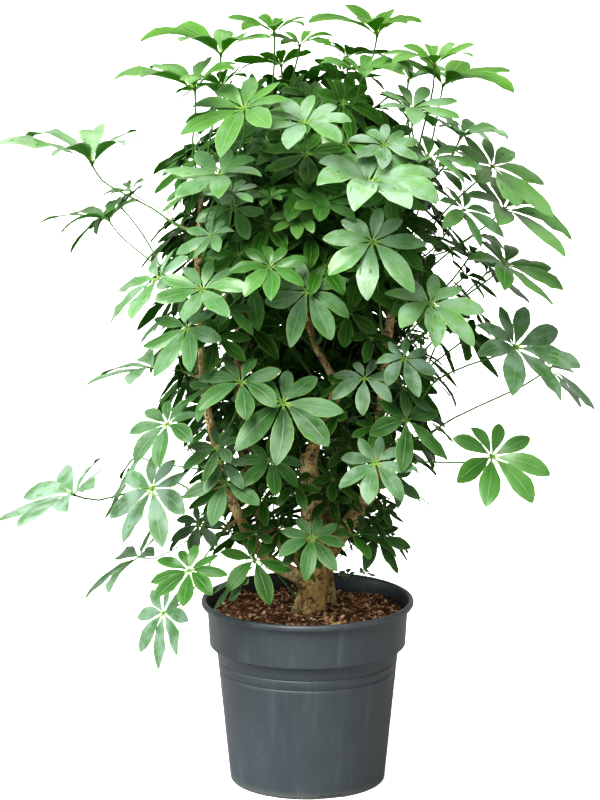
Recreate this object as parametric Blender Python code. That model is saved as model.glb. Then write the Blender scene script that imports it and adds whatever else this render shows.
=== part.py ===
"""Potted umbrella plant: nursery pot, potting soil, woody stems and leafy shoots.

Lengths in the tables are centimetres and angles are degrees; the built objects are in metres.
The pot stands on its flat base at the origin, +Z is up and the plant's front faces -Y.
"""
import math
import random

import bpy
from mathutils import Vector
from mathutils.bvhtree import BVHTree
from mathutils.noise import noise

CM = 0.01
UP = Vector((0.0, 0.0, 1.0))

# --- driving dimensions of the pot ---
POT_HEIGHT = 23.65
RIM_RADIUS = 13.5
BASE_RADIUS = 9.85
POT_WALL = 0.22
POT_FLOOR = 0.45
POT_SIDES = 36
COLLAR_FOOT = 17.9            # height where the wide collar ends
SHOULDER_FOOT = 16.6          # height where the narrower body begins
COLLAR_RADIUS = 12.45
SHOULDER_RADIUS = 11.5
SHOULDER_BULGE = 0.27
FOOT_ROUNDING = 0.22
RIM_WIDTH = 0.6
RIM_DEPTH = 0.9
RIM_ROLL = ((0.1, 0.75), (0.0, 0.35), (0.12, 0.08), (0.35, 0.0), (0.6, 0.1))   # inwards, down
GROOVE_HEIGHTS = (15.9, 14.6)
GROOVE_DEPTH = 0.08
GROOVE_WIDTH = 0.22
FOOT_NOTCH_TURNS = (17.0, 137.0, 257.0)   # degrees right of the front
FOOT_NOTCH_WIDTH = 3.1
FOOT_NOTCH_HEIGHT = 0.5
FOOT_NOTCH_DEPTH = 0.15

# --- driving dimensions of the soil ---
SEAT_GAP = 0.03               # clear gap between pieces that rest on each other
SOIL_EDGE_HEIGHT = 21.5
SOIL_MOUND = 0.55
SOIL_RELIEF = 0.16
SOIL_RINGS = (2.6, 5.0, 7.4, 9.8)
SOIL_ROUNDING = 0.3
STEM_CLEARANCE = 0.05

# --- woody stems: (x, y, z, radius) along each one ---
FRONT_PLANT = {
    "trunk": (
        (0.1, -1.0, 14.0, 1.2), (0.1, -1.0, 18.0, 1.9), (0.2, -1.0, 21.6, 2.4), (0.5, -1.0, 24.0, 1.9),
        (0.9, -1.0, 27.5, 1.65), (0.7, 0.0, 33.5, 1.6), (0.5, 1.0, 38.0, 1.45), (0.0, 2.0, 42.0, 1.1)),
    "left_front": (
        (0.2, -1.2, 25.5, 1.0), (-1.6, -3.0, 27.5, 0.95), (-4.7, -5.0, 29.5, 0.9), (-6.2, -6.0, 31.7, 0.8),
        (-7.8, -7.0, 34.4, 0.75), (-10.4, -8.0, 40.4, 0.65), (-11.3, -8.0, 45.0, 0.6),
        (-12.8, -9.0, 52.0, 0.5), (-13.2, -9.0, 61.0, 0.45), (-13.5, -9.0, 69.0, 0.4),
        (-13.0, -8.0, 76.0, 0.35)),
    "left_back": (
        (0.3, 0.3, 27.5, 1.1), (-2.9, 2.0, 30.0, 1.0), (-5.8, 3.0, 33.3, 0.9), (-7.6, 3.0, 37.6, 0.85),
        (-8.2, 3.0, 43.5, 0.8), (-8.7, 2.0, 56.0, 0.65), (-8.0, 1.0, 66.0, 0.5), (-7.0, 0.0, 75.0, 0.35)),
    "right": (
        (0.8, -0.5, 26.0, 1.1), (2.2, 0.0, 28.6, 1.1), (4.7, -1.0, 32.7, 1.05), (6.8, -2.0, 36.1, 1.0),
        (8.4, -3.0, 38.7, 0.95), (8.8, -3.0, 42.0, 0.8), (8.8, -3.0, 45.0, 0.7), (9.4, -2.0, 50.5, 0.65),
        (9.8, -2.0, 56.0, 0.6), (11.0, -2.0, 66.0, 0.5), (12.5, -2.0, 75.0, 0.35)),
    "centre": (
        (0.0, 2.0, 40.0, 1.0), (0.9, 1.0, 43.5, 0.75), (2.6, 0.0, 48.0, 0.6), (3.6, 0.0, 50.0, 0.85),
        (3.7, 0.0, 51.4, 0.7), (2.5, 0.0, 53.5, 0.5), (1.0, -1.0, 56.3, 0.45), (-0.5, -2.0, 61.3, 0.42),
        (-1.5, -3.0, 64.7, 0.4), (-1.0, -3.0, 72.0, 0.38), (1.0, -2.0, 80.0, 0.3)),
}
REAR_PLANT = {
    "rear": (
        (3.2, 4.8, 14.5, 0.8), (2.8, 4.4, 19.0, 1.3), (2.6, 4.2, 21.6, 1.3), (2.4, 4.2, 25.6, 1.05),
        (3.0, 5.0, 33.0, 0.9), (4.5, 7.0, 42.0, 0.8), (4.0, 8.0, 52.0, 0.65), (3.0, 8.0, 62.0, 0.5),
        (3.0, 7.0, 72.0, 0.35)),
    "rear_left": (
        (2.6, 4.8, 31.0, 0.7), (0.0, 7.5, 38.0, 0.65), (-5.0, 10.0, 47.0, 0.6), (-8.0, 11.0, 58.0, 0.5),
        (-9.0, 10.0, 68.0, 0.35)),
    "rear_right": (
        (3.9, 6.2, 38.5, 0.6), (8.0, 8.0, 47.0, 0.55), (12.0, 9.0, 58.0, 0.5), (14.0, 8.0, 67.0, 0.35)),
}
STEM_SIDES = 9
KNOT = 0.09                   # how far the bark swells and sinks, as a share of the radius

# --- leaves ---
# One row per leaf: x, y, z of the hub, leaflet length, leaflet count, then where the leaf faces:
# degrees to the right of the front, and degrees above the horizontal. An eighth number is the lift
# of its leaflets out of their plane, where that isn't the usual one.
# Each shoot starts on the named stem at the given height.
FRONT_SHOOTS = (
    ("left_front", 72, ((-26.5, -3, 79.5, 12, 7, -90, 86), (-21.5, -3, 75.5, 5, 6, -90, 62),
                        (-14.5, -8, 77.5, 5, 7, -80, 45))),
    ("left_front", 75, ((-10.5, -8, 93.5, 10, 7, -60, 86), (-13, -14, 90.5, 11, 7, -85, 80),
                        (-11.5, -13, 78, 7, 7, -60, 66))),
    ("left_front", 68, ((-8.5, -18, 88.5, 10.5, 8, -35, 62), (-11, -17, 81, 8, 7, -30, 66),
                        (-9, -19, 78.5, 4.5, 7, 0, 66))),
    ("left_back", 74, ((-4, -6, 95.5, 6.5, 7, -30, 82), (-1, -2, 94, 5.5, 6, 10, 78),
                       (-3.5, -12, 81.5, 4.5, 7, -10, 55))),
    ("centre", 69, ((-1, -19, 87, 8, 8, 0, 66), (2, -15, 76.5, 5.8, 8, 10, 62),
                    (1, -18, 73, 5.8, 8, 0, 58), (-2.5, -14, 75, 4, 6, -10, 55))),
    ("centre", 78, ((8.5, 0, 95, 9.6, 8, -60, 86), (6.5, -8, 91, 7.5, 8, 20, 78))),
    ("right", 70, ((9, -15, 83.5, 5.8, 8, 10, 60), (7.5, -20, 80, 10.5, 9, 25, 66),
                   (9.5, -13, 77.5, 6, 6, 10, 45))),
    ("right", 74, ((15, -8, 92, 8, 8, -30, 78), (12.5, 4, 89, 6.5, 6, 100, 76),
                   (16.5, -4, 89, 9.5, 7, 90, 76))),
    ("right", 72, ((12.5, -12, 87.5, 7, 7, 30, 68), (14.5, -12, 81.5, 7, 7, 50, 66),
                   (18.5, -8, 83.5, 6.5, 8, 70, 74))),
    ("right", 66, ((22.5, -5, 79.5, 9.2, 8, 60, 48), (16.5, -9, 76, 8, 7, 60, 58),
                   (15, -4, 78, 5.5, 6, 60, 58))),
    ("right", 61, ((23.5, -4, 73.5, 10.5, 7, 65, 54), (14, -2, 70, 6, 6, 90, 45),
                   (15.5, 9, 68.5, 7, 6, 120, 48))),
    ("right", 56, ((24, -6, 67.5, 9, 8, 60, 55), (22.5, 3, 65, 7.5, 7, 95, 48),
                   (19.5, -1, 65, 5, 7, 80, 48))),
    ("left_front", 63, ((-22.5, 0, 75, 9, 7, -95, 54), (-23.5, -6, 74, 9.4, 7, -85, 63))),
    ("left_front", 58, ((-18, -13, 67, 8.6, 7, -70, 46), (-12.5, -20, 67, 7.2, 8, -15, 54))),
    ("centre", 61, ((-4.5, -19, 69.5, 6.2, 8, -5, 52), (-8, -17, 71, 6.2, 7, -15, 50),
                    (-8.5, -12, 75.5, 6, 7, -20, 45))),
    ("left_front", 52, ((-14.5, -18, 62, 7, 8, -35, 38), (-12, -15, 61, 5.8, 7, 10, 40),
                        (-7.5, -13, 61.5, 6, 6, 30, 42))),
    ("left_front", 54, ((-19, -6, 54.5, 8.2, 7, -90, 62), (-17, 2, 60, 6.5, 7, -100, 42))),
    ("centre", 57, ((0, -18, 66.5, 7, 8, 5, 30), (5, -12, 63, 5.2, 5, 15, 25))),
    ("right", 58, ((7.5, -20, 73, 8, 8, 0, 42), (8, -9, 63, 5.2, 7, 25, 42))),
    ("right", 50, ((14.5, -19, 65, 8.2, 8, 25, 54), (7.5, -11, 60.5, 5.2, 6, 40, 40))),
    ("right", 46, ((25.5, -5, 57, 9.5, 8, 40, 40, 0.5), (20, 0, 57, 6.2, 6, 60, 40),
                   (16, 5, 60, 6, 6, 100, 40))),
    ("right", 43.5, ((30.5, 4, 52.5, 8.8, 6, 80, 46), (14.5, 0, 47.5, 5.2, 6, 80, 45))),
    ("right", 48, ((11.5, -17, 58, 5, 7, 15, 38), (7, -15, 55.5, 5.2, 7, 0, 42))),
    ("right", 41.5, ((12, -15, 50, 7.2, 6, 35, 32), (8, -14, 49, 3.5, 7, 0, 42),
                     (22.5, -11, 44.5, 8.6, 8, 25, 38, 0.4))),
    ("right", 39.5, ((8, -18, 45.5, 6.2, 8, 3, 42), (5, -9, 45, 4, 6, -20, 42))),
    ("centre", 47, ((-3, -19, 53, 8.8, 8, 5, 42),)),
    ("left_front", 46.5, ((-8, -19, 55.5, 7, 7, -5, 50), (-8.5, -11, 48.5, 3.2, 6, 0, 40))),
    ("left_front", 43, ((-17, -15, 49.5, 6.5, 8, -35, 44), (-10, -16, 42.5, 6.2, 6, 0, 42),
                        (-21.5, -5, 43.5, 6, 6, -85, 30))),
    ("trunk", 38, ((-4.5, -15, 45, 5.4, 8, 0, 40), (-5.5, -10, 39, 4, 6, -20, 40),
                   (-1.5, -13, 41.5, 4, 6, 0, 40))),
    ("left_front", 40, ((-19, -13, 41, 8, 8, -40, 30), (-23, -3, 39.5, 5.5, 6, -90, 30),
                        (-29, -5, 38.5, 10.5, 8, -80, 57))),
    ("left_front", 36, ((-13, -9, 36, 4.5, 7, -10, 38), (-14.5, -17, 31.5, 6.4, 9, -12, 46),
                        (-19.5, -9, 26.5, 8.8, 8, -55, 32))),
    ("left_front", 38, ((-21, -4, 30, 9.2, 6, -88, 48), (-14, 3, 33, 6, 7, -110, 38))),
    ("left_front", 32.5, ((-6.5, -13, 32, 5.8, 6, 8, 36),)),
    ("trunk", 35, ((0.5, -14, 35, 5.6, 8, 0, 42), (5.5, -9, 34.5, 6, 6, 65, 60),
                   (2, -9, 38.5, 4, 6, -15, 42))),
    ("right", 34.5, ((9.5, -5, 36.5, 3.2, 7, 50, 42), (11, 3, 36.5, 5, 7, 110, 60))),
)

# Each front shoot also carries smaller leaves deeper in the crown, near the twig's end:
# degrees from the way the shoot leans, distance from the twig's end, climb, leaflet length, leaflet count.
INNER_LEAVES = ((55, 5.5, 2.5, 5.0, 6), (-70, 6.0, -1.0, 5.2, 7))
INNER_RISE = 45
INNER_SIDE_REACH = 0.5        # how far to the side they come, as a share of the crown's reach

# The unseen rear half of the crown: (stem, height on it, degrees right of the front, crown height).
REAR_SHOOTS = (
    ("rear", 71, 170, 81), ("rear_left", 67, 210, 83), ("rear_right", 66, 130, 84),
    ("rear", 66, 180, 78), ("rear_left", 62, 208, 74), ("rear_right", 61, 115, 74),
    ("rear", 60, 165, 67), ("rear_left", 56, 205, 64), ("rear_right", 55, 140, 62),
    ("rear_left", 50, 218, 56), ("rear", 52, 175, 54), ("rear_right", 49, 163, 52),
    ("rear_left", 44, 215, 45), ("rear", 43, 172, 43), ("rear_right", 43.5, 118, 65),
)
# Their leaves: turn from the shoot, climb, share of the crown's reach.
REAR_LEAVES = ((0, 0, 1.0), (-24, -4, 0.93), (22, 5, 0.86), (4, 7, 0.55), (-2, -7, 0.3))
CROWN_REACH = ((30, 16), (42, 21), (55, 23), (68, 23), (80, 20), (88, 14), (96, 8))   # height, radius
CROWN_AXIS = (0.0, 1.0)
CROWN_FULL_REACH = 20.0       # reach at which the rear leaves' side turns hold; they widen where it is less
REAR_LEAFLET = (7.5, 0.15)    # length at full reach, and how much shorter towards the middle
REAR_COUNT = 8
REAR_RISES = ((50.0, 25.0), (100.0, 75.0))   # heights, and how far the leaves face above the horizontal

TWIG_SIDES = 5
TWIG_RADII = (0.3, 0.28, 0.25, 0.22, 0.17)
TWIG_SHARE = 0.5              # how far a twig reaches towards the middle of its leaves
TWIG_DROP = 1.5               # how far its tip stays below that line
TWIG_BEND = (0.35, 3.0)       # share of its length, and most, over which it leaves the bark squarely
STALK_RADIUS = 0.13
STALK_RISE = 0.4              # how much a leaf stalk turns upwards as it leaves the twig
STALK_BENDS = (0.3, 0.25)     # how far the stalk runs straight at the twig and at the leaf
STALK_STEPS = (0.2, 0.5, 0.75, 1.0)
HUB_HALF_THICKNESS = 0.09
LEAFLET_HALF_WIDTH = 0.2      # shares of the leaflet's length
LEAFLET_WIDEST = 0.6
TIP_SHARE = 0.97
HUB_SHARE = 0.13
LENGTH_CHANGE = 0.2           # leaflets are longer on the side that hangs down
DROOP = 0.05
SAG = 0.04
LIFT_RISES = (30.0, 80.0)     # leaflets arch up more and more on leaves that face between these rises
MOST_LIFT = 0.7
ARCH = 0.6                    # share of the lift that is left at the tip
CLEARANCE = 0.035
FACES_AT_SOCKET = 6           # a stalk's first triangles, which belong to the twig they grow from
SEED = 5
OUTSIDE_BARK = 4.0            # a distance from a stem's centre that is always outside its bark
TWIG_TRIALS = 60
TWIG_SHAKE = 0.12
TIP_PREFERENCE = 0.03         # how much more a leaf stalk likes to grow near the twig's tip
TRIALS = 180                  # places tried for a leaf before it is left out
FIRST_SPREAD = 0.3
LAST_SPREAD = 3.0
DEPTH_FREEDOM = 1.6
TILT_PER_SPREAD = 6.0         # degrees for each centimetre of spread
MOST_SHRINK = 0.3
EVERYWHERE = (Vector((-99.0, -99.0, -99.0)), Vector((99.0, 99.0, 199.0)))   # a box round the whole plant

# --- small finds on the soil ---
ABOVE_SOIL = 30.0
SEEDLING_FOOT = (7.2, 7.6)
SEEDLING_TOP = (6.4, 7.0, 24.3)
SEEDLING_RADII = (0.12, 0.11, 0.1, 0.09)
SEEDLING_STALK_RADIUS = 0.05
SEEDLING_SEED = 3
SEEDLING_LEAVES = ((5.2, 6.4, 25.0, 1.7, 4, -40, 60), (7.4, 6.2, 25.2, 1.7, 4, 60, 60))
FALLEN_LEAF_ENDS = ((2.3, -8.2), (4.4, -8.9))
FALLEN_LEAF_EDGE = ((0.0, 0.0), (0.35, 0.44), (0.65, 0.55), (1.0, 0.0), (0.65, -0.55), (0.35, -0.44))
FALLEN_LEAF_CUP = 0.12        # how far its edge curls up
FALLEN_LEAF_THICKNESS = 0.06

COLOURS = {
    "pot_plastic": ((0.075, 0.095, 0.105), 0.45),
    "soil_mix": ((0.11, 0.06, 0.035), 0.95),
    "bark": ((0.30, 0.20, 0.11), 0.85),
    "foliage": ((0.10, 0.30, 0.07), 0.4),
    "dry_leaf": ((0.42, 0.30, 0.12), 0.8),
}


def clear_scene():
    for item in list(bpy.data.objects):
        bpy.data.objects.remove(item, do_unlink=True)


def make_material(name):
    colour, roughness = COLOURS[name]
    material = bpy.data.materials.new(name)
    material.use_nodes = True
    shader = material.node_tree.nodes["Principled BSDF"]
    shader.inputs["Base Color"].default_value = (*colour, 1.0)
    shader.inputs["Roughness"].default_value = roughness
    return material


def add_object(name, points, faces, material, origin=Vector((0.0, 0.0, 0.0))):
    """Make a mesh object from points in centimetres, with its origin at the given point."""
    mesh = bpy.data.meshes.new(name)
    mesh.from_pydata([(point - origin) * CM for point in points], [], faces)
    mesh.materials.append(material)
    body = bpy.data.objects.new(name, mesh)
    body.location = origin * CM
    bpy.context.collection.objects.link(body)
    return body


def combine(target, tool, operation):
    """Apply an exact Boolean of the tool to the target and remove the tool."""
    modifier = target.modifiers.new(operation.lower(), "BOOLEAN")
    modifier.operation = operation
    modifier.solver = "EXACT"
    modifier.object = tool
    bpy.context.view_layer.update()
    graph = bpy.context.evaluated_depsgraph_get()
    mesh = bpy.data.meshes.new_from_object(target.evaluated_get(graph))
    target.modifiers.clear()
    target.data = mesh
    bpy.data.objects.remove(tool, do_unlink=True)


def lathe(profile, sides):
    """Revolve a profile of (radius, height) rows that starts and ends on the axis."""
    points = [Vector((0.0, 0.0, profile[0][1]))]
    for radius, height in profile[1:-1]:
        for side in range(sides):
            angle = 2.0 * math.pi * side / sides
            points.append(Vector((radius * math.cos(angle), radius * math.sin(angle), height)))
    points.append(Vector((0.0, 0.0, profile[-1][1])))
    last_ring = 1 + (len(profile) - 3) * sides
    faces = []
    for side in range(sides):
        following = (side + 1) % sides
        faces.append((0, 1 + following, 1 + side))
        faces.append((len(points) - 1, last_ring + side, last_ring + following))
        for start in range(1, last_ring, sides):
            a, b = start + side, start + following
            faces.append((a, b, b + sides))
            faces.append((a, b + sides, a + sides))
    return points, faces


def outer_radius(height):
    """Radius of the pot's outside, without the fine grooves."""
    if height <= SHOULDER_FOOT:
        return BASE_RADIUS + (SHOULDER_RADIUS - BASE_RADIUS) * height / SHOULDER_FOOT
    share = (height - COLLAR_FOOT) / (POT_HEIGHT - COLLAR_FOOT)
    return COLLAR_RADIUS + (RIM_RADIUS - RIM_WIDTH - COLLAR_RADIUS) * max(share, 0.0)


def groove_rows(height):
    """Profile rows of one fine groove round the body."""
    half = GROOVE_WIDTH / 2.0
    return [(outer_radius(height - half), height - half),
            (outer_radius(height) - GROOVE_DEPTH, height),
            (outer_radius(height + half), height + half)]


def build_pot(material):
    profile = [(0.0, 0.0), (BASE_RADIUS - FOOT_ROUNDING, 0.0), (outer_radius(FOOT_ROUNDING), FOOT_ROUNDING)]
    for height in sorted(GROOVE_HEIGHTS):
        profile += groove_rows(height)
    profile += [
        (SHOULDER_RADIUS, SHOULDER_FOOT),
        (SHOULDER_RADIUS + SHOULDER_BULGE, COLLAR_FOOT - 2.0 * SHOULDER_BULGE),
        (COLLAR_RADIUS, COLLAR_FOOT),
        (outer_radius(POT_HEIGHT - RIM_DEPTH), POT_HEIGHT - RIM_DEPTH),
    ]
    profile += [(RIM_RADIUS - inwards, POT_HEIGHT - down) for inwards, down in RIM_ROLL]
    profile += inside_rows()[::-1]
    profile.append((0.0, POT_FLOOR))
    pot = add_object("pot", *lathe(profile, POT_SIDES), material)
    for turn in FOOT_NOTCH_TURNS:
        combine(pot, foot_notch_tool(turn), "DIFFERENCE")
    return pot


def inside_rows():
    """Profile rows of the pot's inside, from the floor up to just under the rim."""
    return [
        (outer_radius(POT_FLOOR) - POT_WALL, POT_FLOOR),
        (SHOULDER_RADIUS - POT_WALL - GROOVE_DEPTH, SHOULDER_FOOT),
        (SHOULDER_RADIUS - POT_WALL, COLLAR_FOOT - 2.0 * POT_WALL),
        (COLLAR_RADIUS - POT_WALL, COLLAR_FOOT + POT_WALL),
        (outer_radius(POT_HEIGHT - RIM_DEPTH) - POT_WALL, POT_HEIGHT - RIM_DEPTH),
    ]


def foot_notch_tool(turn):
    """A block that nicks the pot's foot, pointing outwards at the given turn from the front."""
    angle = math.radians(turn)
    out = Vector((math.sin(angle), -math.cos(angle), 0.0))
    side = Vector((math.cos(angle), math.sin(angle), 0.0))
    start = BASE_RADIUS - FOOT_NOTCH_DEPTH - 0.2
    points = []
    for height in (-0.5, FOOT_NOTCH_HEIGHT):
        for reach, offset in ((start, -1), (start, 1), (start + 2.0, 1), (start + 2.0, -1)):
            points.append(out * reach + side * (offset * FOOT_NOTCH_WIDTH / 2.0) + UP * height)
    faces = [(0, 1, 2, 3), (7, 6, 5, 4), (0, 4, 5, 1), (1, 5, 6, 2), (2, 6, 7, 3), (3, 7, 4, 0)]
    return add_object("notch_tool", points, faces, bpy.data.materials["pot_plastic"])


def soil_height(x, y):
    """Height of the loose soil surface, mounded towards the stems."""
    reach = math.hypot(x, y) / outer_radius(SOIL_EDGE_HEIGHT)
    relief = noise(Vector((x, y, 0.0)) * 0.45) * SOIL_RELIEF
    return SOIL_EDGE_HEIGHT + SOIL_MOUND * max(0.0, 1.0 - reach * reach) + relief


def build_soil(material, stem_tools):
    edge = outer_radius(SOIL_EDGE_HEIGHT - SOIL_ROUNDING) - POT_WALL - SEAT_GAP
    profile = [(0.0, POT_FLOOR + SEAT_GAP)]
    for radius, height in inside_rows()[:-1]:
        profile.append((radius - SEAT_GAP * 1.5, height + SEAT_GAP))
    profile.append((edge, SOIL_EDGE_HEIGHT - SOIL_ROUNDING))
    profile.append((edge - SOIL_ROUNDING, SOIL_EDGE_HEIGHT))
    for radius in reversed(SOIL_RINGS):
        profile.append((radius, SOIL_EDGE_HEIGHT))
    profile.append((0.0, SOIL_EDGE_HEIGHT))
    points, faces = lathe(profile, POT_SIDES)
    for point in points:
        if point.z >= SOIL_EDGE_HEIGHT - 0.01:
            point.z = soil_height(point.x, point.y)
    soil = add_object("potting_soil", points, faces, material)
    for tool in stem_tools:
        combine(soil, tool, "DIFFERENCE")
    return soil


def across(direction):
    """Two unit vectors square to the direction and to each other."""
    helper = Vector((1.0, 0.0, 0.0)) if abs(direction.x) < 0.8 else Vector((0.0, 1.0, 0.0))
    first = direction.cross(helper).normalized()
    return first, direction.cross(first).normalized()


def tube(rows, sides, swell=0.0, extra=0.0):
    """A closed tube through (x, y, z, radius) rows, with a knotty swell and an extra skin."""
    centres = [Vector(row[:3]) for row in rows]
    points = []
    first = across(centres[1] - centres[0])[0]
    for index, row in enumerate(rows):
        ahead = centres[min(index + 1, len(rows) - 1)] - centres[max(index - 1, 0)]
        ahead.normalize()
        first = (first - ahead * first.dot(ahead)).normalized()
        second = ahead.cross(first)
        beyond = ahead * (extra * ((index == len(rows) - 1) - (index == 0)))
        for side in range(sides):
            angle = 2.0 * math.pi * side / sides
            spoke = first * math.cos(angle) + second * math.sin(angle)
            knot = 1.0 + swell * noise((centres[index] + spoke * row[3]) * 0.7) * 2.0
            points.append(centres[index] + beyond + spoke * (row[3] * knot + extra))
    faces = []
    for start in range(0, (len(rows) - 1) * sides, sides):
        for side in range(sides):
            a, b = start + side, start + (side + 1) % sides
            faces.append((a, b, b + sides))
            faces.append((a, b + sides, a + sides))
    faces.append(tuple(reversed(range(sides))))
    faces.append(tuple(range((len(rows) - 1) * sides, len(rows) * sides)))
    return points, faces


def build_woody(name, stems, material):
    """Grow a plant's trunk and branches together as one woody body."""
    bodies = []
    for stem_name, rows in stems.items():
        bodies.append(add_object(stem_name, *tube(rows, STEM_SIDES, KNOT), material))
    whole = bodies[0]
    whole.name = name
    for branch in bodies[1:]:
        combine(whole, branch, "UNION")
    return whole


def tree_of(body):
    """A collision tree of a built object, in centimetres."""
    points = [(body.matrix_world @ vertex.co) / CM for vertex in body.data.vertices]
    return BVHTree.FromPolygons(points, [tuple(face.vertices) for face in body.data.polygons])


def point_on_stem(rows, height):
    """The centre of a stem at a height."""
    for below, above in zip(rows, rows[1:]):
        if below[2] <= height <= above[2]:
            share = (height - below[2]) / (above[2] - below[2])
            return Vector(below[:3]).lerp(Vector(above[:3]), share)
    raise ValueError("no part of the stem is at this height")


def leaf_axes(faces_right, rise):
    """Unit vectors of a leaf: the way it faces, its downhill side and its right-hand side."""
    turn, tilt = math.radians(faces_right), math.radians(rise)
    ahead = Vector((math.sin(turn), -math.cos(turn), 0.0))
    facing = ahead * math.cos(tilt) + UP * math.sin(tilt)
    downhill = ahead * math.sin(tilt) - UP * math.cos(tilt)
    return facing, downhill, facing.cross(downhill)


def leaflet_lift(rise):
    low, high = LIFT_RISES
    return MOST_LIFT * min(max((rise - low) / (high - low), 0.0), 1.0)


class Growth:
    """Points and triangles of one shoot while it grows."""

    def __init__(self):
        self.points = []
        self.faces = []
        self.twig_points = 0      # how many of the points, from the first on, are the twig's own

    def copy(self):
        other = Growth()
        other.points = list(self.points)
        other.faces = list(self.faces)
        other.twig_points = self.twig_points
        return other

    def add_ring(self, centre, first, second, radius):
        start = len(self.points)
        for side in range(3):
            angle = 2.0 * math.pi * side / 3.0
            self.points.append(centre + (first * math.cos(angle) + second * math.sin(angle)) * radius)
        return [start, start + 1, start + 2]

    def join_rings(self, lower, upper):
        for side in range(3):
            a, b = lower[side], lower[(side + 1) % 3]
            c, d = upper[side], upper[(side + 1) % 3]
            self.faces.append((a, b, d))
            self.faces.append((a, d, c))

    def grow_stalk(self, socket, hub, facing, radius):
        """Grow a leaf stalk from a triangle of the twig to the hub; returns the ring at the hub."""
        self.faces.remove(socket)
        corners = [self.points[index] for index in socket]
        root = sum(corners, Vector()) / 3.0
        out = (corners[1] - corners[0]).cross(corners[2] - corners[0]).normalized()
        reach = (hub - root).length
        bends = (root, root + (out + UP * STALK_RISE).normalized() * reach * STALK_BENDS[0],
                 hub - facing * reach * STALK_BENDS[1], hub)
        first = (corners[0] - root).normalized()
        lower = list(socket)
        for share in STALK_STEPS:
            rest = 1.0 - share
            centre = (bends[0] * rest ** 3 + bends[1] * 3.0 * rest ** 2 * share
                      + bends[2] * 3.0 * rest * share ** 2 + bends[3] * share ** 3)
            along = ((bends[1] - bends[0]) * rest ** 2 + (bends[2] - bends[1]) * 2.0 * rest * share
                     + (bends[3] - bends[2]) * share ** 2).normalized()
            first = (first - along * first.dot(along)).normalized()
            second = along.cross(first)
            if share == 1.0:
                centre = hub - along * HUB_HALF_THICKNESS
            upper = self.add_ring(centre, first, second, radius)
            self.join_rings(lower, upper)
            lower = upper
        return lower

    def grow_leaflets(self, ring, hub, leaf, turn, axes):
        """Close the stalk's ring with a thin umbrella of pointed leaflets round the hub."""
        length, count = leaf[3], leaf[4]
        facing, downhill, right = axes
        lift = leaf[7] if len(leaf) > 7 else leaflet_lift(leaf[6])
        outline = []
        for number in range(count):
            angle = math.radians(turn) + 2.0 * math.pi * number / count
            half_step = math.pi / count
            spoke = downhill * math.cos(angle) + right * math.sin(angle)
            side = right * math.cos(angle) - downhill * math.sin(angle)
            gap = downhill * math.cos(angle - half_step) + right * math.sin(angle - half_step)
            reach = length * (1.0 - LENGTH_CHANGE + LENGTH_CHANGE * math.cos(angle))
            half_width = reach * LEAFLET_HALF_WIDTH
            middle = hub + spoke * (reach * LEAFLET_WIDEST) + facing * (reach * lift * LEAFLET_WIDEST)
            middle -= UP * (SAG * reach * LEAFLET_WIDEST ** 2)
            tip = hub + spoke * (reach * TIP_SHARE) + facing * (reach * (lift * ARCH - DROOP))
            tip -= UP * (SAG * reach)
            outline.append((angle - half_step, hub + (gap + facing * lift) * (length * HUB_SHARE)))
            outline.append((angle, middle - side * half_width))
            outline.append((angle, tip))
            outline.append((angle, middle + side * half_width))
        apex = len(self.points)
        self.points.append(hub + facing * HUB_HALF_THICKNESS)
        edge = []
        for _, point in outline:
            edge.append(len(self.points))
            self.points.append(point)
        spokes = [self.points[index] - hub for index in ring]
        ring_angles = [math.atan2(spoke.dot(right), spoke.dot(downhill)) for spoke in spokes]
        nearest = []
        for angle, _ in outline:
            turns = [abs(math.remainder(angle - other, 2.0 * math.pi)) for other in ring_angles]
            nearest.append(turns.index(min(turns)))
        for index, here in enumerate(edge):
            following = edge[(index + 1) % len(edge)]
            root, next_root = nearest[index], nearest[(index + 1) % len(edge)]
            self.faces.append((apex, here, following))
            self.faces.append((ring[root], following, here))
            if next_root != root:
                self.faces.append((ring[root], ring[next_root], following))


def solid_of(points, faces):
    """Collision trees of some faces, as they are and swollen by the clearance, with their bounds."""
    normals = {}
    for face in faces:
        a, b, c = (points[index] for index in face)
        normal = (b - a).cross(c - a).normalized()
        for index in face:
            normals[index] = normals.get(index, Vector()) + normal
    order = {index: place for place, index in enumerate(normals)}
    own_faces = [tuple(order[index] for index in face) for face in faces]
    plain = [points[index] for index in normals]
    swollen = [points[index] + normal.normalized() * CLEARANCE for index, normal in normals.items()]
    trees = [BVHTree.FromPolygons(places, own_faces) for places in (plain, swollen)]
    low = Vector([min(point[axis] for point in swollen) - CLEARANCE for axis in range(3)])
    high = Vector([max(point[axis] for point in swollen) + CLEARANCE for axis in range(3)])
    return trees, low, high


def touches(candidate, others):
    """Whether the candidate, as it is or swollen, meets any of the others."""
    trees, low, high = candidate
    for other_trees, other_low, other_high in others:
        apart = any(high[axis] < other_low[axis] or other_high[axis] < low[axis] for axis in range(3))
        if not apart and any(tree.overlap(other) for tree, other in zip(trees, other_trees)):
            return True
    return False


def crosses_itself(growth, first_new):
    """Whether any face from the given number on cuts a face that it shares no point with."""
    new_faces = growth.faces[first_new:]
    whole = BVHTree.FromPolygons(growth.points, growth.faces)
    added = BVHTree.FromPolygons(growth.points, new_faces)
    return any(not set(new_faces[one]).intersection(growth.faces[other])
               for one, other in added.overlap(whole))


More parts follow.
